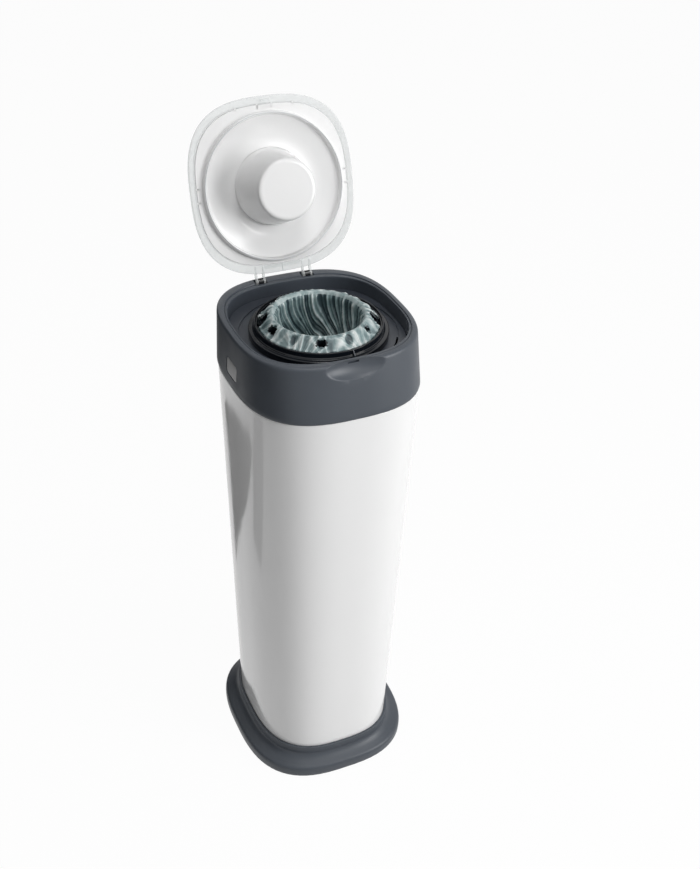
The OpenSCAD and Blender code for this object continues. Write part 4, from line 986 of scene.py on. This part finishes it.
# The crease lines wander, and are twisted by the last turn of the ring
twist = 0.9 * np.clip((600 - z0) / 60, 0, 1.4) ** 2
wander = turn + twist + 0.06 * np.sin(3 * turn + 0.7) + 0.035 * np.sin(7 * turn + 2.1)
wander = wander + 0.02 * np.sin(13 * turn)
on_crown = np.clip((r0 - 50.5) / 3, 0, 1) * np.clip((z0 - 590) / 5, 0, 1)
in_throat = np.clip((607 - z0) / 6, 0, 1) * (r0 < 51.8)


def ridged(angle, count, phase):
    """Sharp crests and round valleys, from 0 to 1."""
    return 1 - np.abs(np.sin(count / 2 * angle + phase))


def crown_creases():
    """Height of the creases over the crown: three fans that lean apart, and some across them."""
    slant = 0.012 * (r0 - 57) * np.sin(6 * turn + 1.1)
    fans = ((36, 0.75, 0.3, 1.0), (23, 0.8, 1.9, -1.6), (84, 0.25, 4.4, 2.2))
    fans = sum(height * (ridged(wander + slant * lean, count, phase) - 0.4)
               for count, height, phase, lean in fans)
    across = 0.4 * (ridged(r0 / 6.2 + 0.9 * np.sin(9 * turn), 2, 0.4) - 0.5) * np.sin(4 * turn + 2.0) ** 2
    patchy = 0.7 + 0.5 * np.sin(5 * turn + 1.0) * np.sin(8 * turn + 0.4)
    return on_crown * (fans * (0.5 + patchy) + across)


def throat_pleats():
    """The throat's broad pleats and the narrow ones between them, each from 0 to 1."""
    fans = enumerate(((20, 1.0, 0.2), (33, 0.55, 2.0), (13, 0.6, 0.9)))
    broad = sum(share * ridged(wander + 0.05 * k, count, phase) for k, (count, share, phase) in fans) / 2.15
    narrow = ridged(wander + 0.03 * np.sin(4 * turn + 6 * down), 64, 0.5)
    return broad, narrow


crease = crown_creases()
broad, narrow = throat_pleats()
# Depth of the pleats at some distances from the axis
AT_RADIUS = [4, 8, 14, 24, 40, 49]
fold = np.interp(r0, AT_RADIUS, [0.4, 1.2, 2.6, 4.4, 5.4, 3.0]) * broad
fold = fold + np.interp(r0, AT_RADIUS, [0.9, 1.4, 1.9, 2.3, 2.7, 1.7]) * narrow
print("deepest pleat:", round(fold.max(), 1), "mm")

# %% Slack and gaps over the crown's openings
# Where the film is pulled clear, by angle in degrees: half its width, its inner and outer radius
CLEAR = {10: (5.2, 56.0, 62.3), 40: (2.6, 56.8, 60.5), 70: (5.4, 56.0, 63.0), 100: (5.0, 55.8, 62.0),
         130: (6.6, 56.2, 70.0), 160: (7.6, 56.4, 70.0), 190: (5.8, 55.8, 62.6), 250: (5.6, 55.6, 61.8),
         310: (3.4, 56.2, 60.8), 340: (7.4, 56.6, 70.0)}
OPENING_AT, OPENING_R = 58.65, 4.5


def slack_and_gaps():
    """How deep the film sags into the openings, and how far inside a gap each point lies."""
    sag, gone = np.zeros_like(turn), np.zeros_like(turn)
    for angle in range(10, 360, 30):
        side = np.angle(np.exp(1j * (turn - math.radians(angle)))) * OPENING_AT
        dip = 1 - (side / OPENING_R) ** 2 - ((r0 - OPENING_AT) / OPENING_R) ** 2
        sag = np.maximum(sag, 2.4 * np.sqrt(np.clip(dip, 0, 1)) * on_crown)
        if angle in CLEAR:
            half, inner, outer = CLEAR[angle]
            wide = half + 0.22 * (r0 - inner) + 0.5 * np.sin(r0 * 2.1 + angle)
            wide = wide + 0.3 * np.sin(r0 * 4.3 + angle * 2)
            rough = 0.45 * np.sin(side * 1.9 + angle) + 0.3 * np.sin(side * 4.1 + angle * 3)
            within = np.minimum(np.minimum(wide - np.abs(side), r0 - inner - rough), outer + rough - r0)
            gone = np.maximum(gone, within * (z0 > 586) * (r0 > 52))
    return sag, gone


sag, gone = slack_and_gaps()
print("openings that show the crown:", len(CLEAR), "of 12")

# %% Film sheet
# Creases and slack lie square to the path over the crown, and pleats point at the axis
slope = np.gradient(path, axis=0)
slope /= np.linalg.norm(slope, axis=1, keepdims=True)
out_r, out_z = -slope[:, 1:2], slope[:, 0:1]
flip = np.where(out_z + 0.2 * out_r < 0, -1, 1)
out_r, out_z = out_r * flip, out_z * flip
lift = np.clip(crease, -0.4, 1.9) - sag
ripple = 0.25 * in_throat * np.sin(9 * turn + 12 * down) * np.clip((r0 - 10) / 20, 0, 1)
r = r0 + lift * out_r * (1 - in_throat) - in_throat * fold
z = z0 + lift * out_z * (1 - in_throat) + ripple
grid = np.stack([r * np.cos(turn), r * np.sin(turn) + AXIS_Y, z], axis=2)

uv = np.stack([turn / (2 * math.pi), np.broadcast_to((rows_at / run[-1])[:, None], turn.shape)], 2)
absent = gone.ravel() > 0
faces = [f for f in skin_faces(turn.shape[1], turn.shape[0], "open") if not all(absent[f])]
sealing_film = bpy.data.materials.new("sealing_film")
film = piece("film_sheet", grid.reshape(-1, 3), faces, sealing_film, uv=uv.reshape(-1, 2))
# Painted light and shade: the crests of pleats and creases get a paler colour, and valleys and sags a darker
# one, partly for the folded layers of film
pleat_light_and_shade = np.clip(0.95 * broad + 0.35 * narrow - 0.15, 0, 1)
crease_light_and_shade = np.clip(0.62 + 0.42 * (crease - 0.55 * sag), 0, 1)
crest_light_and_shade = np.where(in_throat > 0.5, pleat_light_and_shade, crease_light_and_shade)
crests = film.data.attributes.new("crest_light_and_shade", "FLOAT", "POINT")
crests.data.foreach_set("value", crest_light_and_shade.ravel().astype(np.float32))
work = bmesh.new()
work.from_mesh(film.data)
bmesh.ops.delete(work, geom=[v for v in work.verts if not v.link_faces], context="VERTS")
work.to_mesh(film.data)
work.free()
film.data.shade_smooth()
print("film:", len(film.data.polygons), "faces,", round(sum(f.area for f in film.data.polygons), 4), "m2")

# %% [markdown]
# ### The film's material
#
# The film is a pale green barrier film of several thin layers. It is glossy and a little milky.
# Light comes through where it is one layer thick. The colour follows the height of each crease,
# which is kept on the mesh as an attribute: paler on the crests, partly for the folded layers and
# partly as painted highlight, and darker in the valleys and sags, as painted shade. Its fine crackle
# is drawn as a bump on the film's own UV map, a few millimetres across, and longer down the throat than round
# it.

# %% Film material
# How many go round the film: 150 crackles are 2.8 mm and 40 blotches 10 mm at the cassette
CRACKLES, BLOTCHES, STRETCH = 150, 40, 0.32
sealing_film.use_nodes = True
tree = sealing_film.node_tree
tree.nodes.clear()
place = add_node(tree, "ShaderNodeTexCoord")
stretch = add_node(tree, "ShaderNodeMapping", {"Vector": place.outputs["UV"], "Scale": (1, STRETCH, 1)})
crackle = add_node(tree, "ShaderNodeTexNoise",
                   {"Vector": stretch.outputs[0], "Scale": CRACKLES, "Detail": 5.0, "Distortion": 0.6})
blotches = add_node(tree, "ShaderNodeTexNoise",
                    {"Vector": stretch.outputs[0], "Scale": BLOTCHES, "Detail": 3.0})
height = add_node(tree, "ShaderNodeAttribute", attribute_name="crest_light_and_shade", attribute_type="GEOMETRY")
blotch = add_node(tree, "ShaderNodeMath", {0: blotches.outputs["Fac"], 1: 0.7, 2: -0.35},
                  operation="MULTIPLY_ADD")
tone = add_node(tree, "ShaderNodeMath", {0: height.outputs["Fac"], 1: blotch.outputs[0]}, operation="ADD")
# The ramp's dark teal end paints shade in the valleys and sags, and its near-white end paints highlights on
# the crests
ramp = add_node(tree, "ShaderNodeValToRGB", {"Fac": tone.outputs[0]})
ramp.color_ramp.elements[0].position = 0.1
ramp.color_ramp.elements[0].color = linear("#54686e")
ramp.color_ramp.elements[1].position = 0.9
ramp.color_ramp.elements[1].color = linear("#eef6f5")
ramp.color_ramp.elements.new(0.5).color = linear("#9bb3b5")
bump = add_node(tree, "ShaderNodeBump",
                {"Height": crackle.outputs["Fac"], "Distance": 0.6 * MM, "Strength": 0.6})
surface = add_node(tree, "ShaderNodeBsdfPrincipled",
                   {"Base Color": ramp.outputs[0], "Roughness": 0.16, "IOR": 1.6, "Normal": bump.outputs[0]})
glow_through = add_node(tree, "ShaderNodeBsdfTranslucent",
                        {"Color": ramp.outputs[0], "Normal": bump.outputs[0]})
body = add_node(tree, "ShaderNodeMixShader", {0: 0.25, 1: surface.outputs[0], 2: glow_through.outputs[0]})
clear = add_node(tree, "ShaderNodeBsdfTransparent", {"Color": linear("#cfdddc")})
thin = add_node(tree, "ShaderNodeMapRange",
                {"Value": tone.outputs[0], "From Min": 0.1, "From Max": 0.6, "To Min": 0.25, "To Max": 0.0})
veil = add_node(tree, "ShaderNodeMixShader", {0: thin.outputs[0], 1: body.outputs[0], 2: clear.outputs[0]})
add_node(tree, "ShaderNodeOutputMaterial", {"Surface": veil.outputs[0]})
FINISH["film"] = sealing_film
frame["nodes"]["film_pack"].material_slots[0].material = sealing_film
dress(film, "carousel", "film", "film")

# %% [markdown]
# ## The lid
#
# The lid is two mouldings snapped together. The cover is a shallow frosted dome with a thick
# border, and carries the hinge arms. The liner is a white plate with a ridge that seals round
# the deck, a dished middle, and a plunger that pushes down into the throat. Both are drawn in
# the closed place, where their sizes are easy to state, and then turned open about the hinge.

# %% Opening the lid
HINGE_Y, HINGE_Z, OPEN = 101.4, 600.5, math.radians(-107.5)
LID_X, LID_FRONT, LID_BACK, LID_Z = 97.2, -101.7, 94.5, 600.5


def opened(points):
    """Turns points from the closed place to the open one."""
    p = np.array(points, float)
    y, z = p[:, 1] - HINGE_Y, p[:, 2] - HINGE_Z
    p[:, 1] = HINGE_Y + y * math.cos(OPEN) - z * math.sin(OPEN)
    p[:, 2] = HINGE_Z + y * math.sin(OPEN) + z * math.cos(OPEN)
    return p


def lid_ring(inset, z):
    """The lid's outline, drawn in by the inset."""
    return outline(LID_X - inset, LID_FRONT + inset, LID_BACK - inset, z)


def border_ring(outset, z):
    """The inner edge of the cover's border, moved out by the outset."""
    return outline(LID_X - 7.2 + outset, LID_FRONT + 8.7 - outset, LID_BACK - 10.1 + outset, z)


print("lid opens", round(-math.degrees(OPEN), 1), "degrees about y", HINGE_Y, "z", HINGE_Z)

# %% Lid cover
# Lines of (inset, height above the lid's lower edge), and of (outset, height) for the border
outside = curve_through([(1.0, 0.0), (0.2, 0.9), (0.0, 2.4), (0.4, 4.6), (1.8, 7.0), (4.6, 9.4), (9.5, 11.6),
                         (19.0, 13.8), (36.9, 15.8), (60.0, 16.8), (81.6, 17.1)], per=5)
inside = curve_through([(81.6, 14.9), (60.0, 14.5), (36.9, 13.4), (19.0, 11.3), (11.2, 9.6)], per=5)
border = [(0.3, 7.4), (0.6, 6.4), (0.6, 0.6), (0.75, 0.2), (1.2, 0)]
rings = [lid_ring(inset, LID_Z + z) for inset, z in inside[:-1]]
rings += [border_ring(outset, LID_Z + z) for outset, z in border]
rings += [lid_ring(inset, LID_Z + z) for inset, z in outside]
cover = skin("lid_cover_dome", [opened(ring) for ring in rings], frosted_pp, ends="caps", angle=40)

# %% Hinge arms, axles, catch and ribs of the cover
ARM_W, AXLE_R, AXLE_HALF = 2.2, 1.6, 5.6
arm = [(HINGE_Y + 4.3, HINGE_Z - 1), (HINGE_Y + 4.9, HINGE_Z - 0.4), (HINGE_Y + 4.9, HINGE_Z + 1),
       (HINGE_Y + 2.1, HINGE_Z + 2.1), (HINGE_Y, HINGE_Z + 3), (95.5, 604.3), (92.9, 604.3),
       (92.9, 601.2), (85, 601.2), (85, 600.2), (86, 599.6), (96.8, 599.6), (98.9, 598.9),
       (100.2, 597.75), (HINGE_Y, 597.5), (103.5, 598.4)]
catch = [(-97.88, 601.5), (-97.88, 596.9), (-97.28, 596.4), (-95.28, 596.4), (-94.88, 596.8), (-94.88, 597.3),
         (-96.18, 598.1), (-96.18, 601.5)]
parts = []
for middle in (-HINGE_X, HINGE_X):
    parts += [prism(arm, middle + start, middle + start + ARM_W, "x") for start in (-5.6, 3.4)]
    parts.append(prism(disc(HINGE_Y, HINGE_Z, AXLE_R, count=40), middle - AXLE_HALF, middle + AXLE_HALF, "x"))
parts.append(prism(catch, -5.2, 5.2, "x"))
parts.append(box_points((-0.8, 85, 599.6), (0.8, 93.1, 601.2)))
parts.append(box_points((-22, 85, 600.1), (22, 88.4, 601.1)))
points, faces = gathered(parts)
fittings = piece("lid_fittings", opened(points), faces, frosted_pp)
rounding = fittings.modifiers.new("edges", "BEVEL")
rounding.width, rounding.segments, rounding.limit_method = 0.25 * MM, 2, "ANGLE"
smooth(fittings, outward=False)
dress(fittings, "lid", "clear_white")
dress(cover, "lid", "clear_white", "lid_cover")

# %% [markdown]
# ### The liner
#
# Seen from the open side the liner is what catches the eye: a plate, a low ridge, then a
# surface that dips away to the foot of the plunger, and the plunger's own cone with a softly
# rounded end. Every part of it but the plate's edge is round, so the rings are circles that
# change into the lid's outline only at the last few steps.

# %% Lid liner
PLATE_R, PLATE_Z, PLATE_TOP_Z = 84.6, 601.5, 603.3


def plate_edge(z):
    """The plate's outline, which lies within the cover's border."""
    return outline(LID_X - 7.8, LID_FRONT + 9.3, LID_BACK - 10.7, z)


# (radius, z) with the lid shut, and a rounding for the ridge, which has a groove for the soft lip
dish = curve_through([(43.4, 608.7), (45.4, 609.5), (49.5, 609.85), (54.0, 609.5), (60.0, 607.9),
                      (66.0, 605.8), (72.0, 603.7), (77.0, 602.0)], per=5)
ridge = softened([(77.0, 602.0, 0), (79.3, 601.5, 1.2), (79.7, 598.0, 0.9), (80.3, 596.7, 0.5),
                  (81.0, 596.3, 0.2), (81.0, 598.4, 0), (82.0, 598.4, 0), (82.0, 596.3, 0.2),
                  (82.7, 596.7, 0.5), (83.4, 598.0, 0.9), (83.7, 601.5, 0.6), (PLATE_R, PLATE_Z, 0)], steps=3)
back = [(84.0, PLATE_TOP_Z), (79.2, PLATE_TOP_Z), (70.5, 606.3), (60, 609.7), (54, 611.3), (49, 611.7),
        (43.4, 611.7)]
rings = [circle(r, z) for r, z in np.concatenate([dish, ridge[1:]])]
rings += [circle(PLATE_R, PLATE_Z) * (1 - t) + plate_edge(PLATE_Z) * t for t in (0.33, 0.66, 0.93, 0.985)]
rings += [plate_edge(PLATE_Z + 0.25), plate_edge(PLATE_TOP_Z)]
rings += [circle(r, z) for r, z in back]
liner = skin("liner_plate", [opened(ring) for ring in rings], liner_abs, angle=40)

tabs = [box_points((x - 1, -93.0, PLATE_Z), (x + 1, -88.0, PLATE_TOP_Z)) for x in (-34.5, -9, 7.6, 33)]
tabs += [box_points((x, y, PLATE_Z), (x + 4.4, y + 2, PLATE_TOP_Z))
         for x in (-90.4, 86) for y in (-11.5, 3.6)]
points, faces = gathered(tabs)
dress(smooth(piece("liner_tabs", opened(points), faces, liner_abs), outward=False), "lid", "white_gloss")
dress(liner, "lid", "white_gloss", "lid_liner")

# %% Plunger
# (radius, z): across the rounded end, up the cone, and back down inside
cone = curve_through([(0.5, 556.0), (14, 556.0), (26, 556.0), (30.6, 556.1), (32.8, 557.0), (34.1, 559.0),
                      (34.9, 562.4), (38.4, 580), (41.6, 596), (42.4, 603.5), (43.2, 609.1)], per=5)
hollow = [(43.2, 611.7), (49, 611.7), (49, 612.9), (41.4, 612.9), (41.4, 606.9), (40.0, 596.9), (32.9, 562),
          (32.4, 560), (30.2, 557.8), (0.5, 557.8)]
rings = [opened(circle(r, z)) for r, z in np.concatenate([cone, hollow])]
dress(skin("plunger_cone", rings, liner_abs, ends="caps", angle=40), "lid", "white_gloss", "plunger")
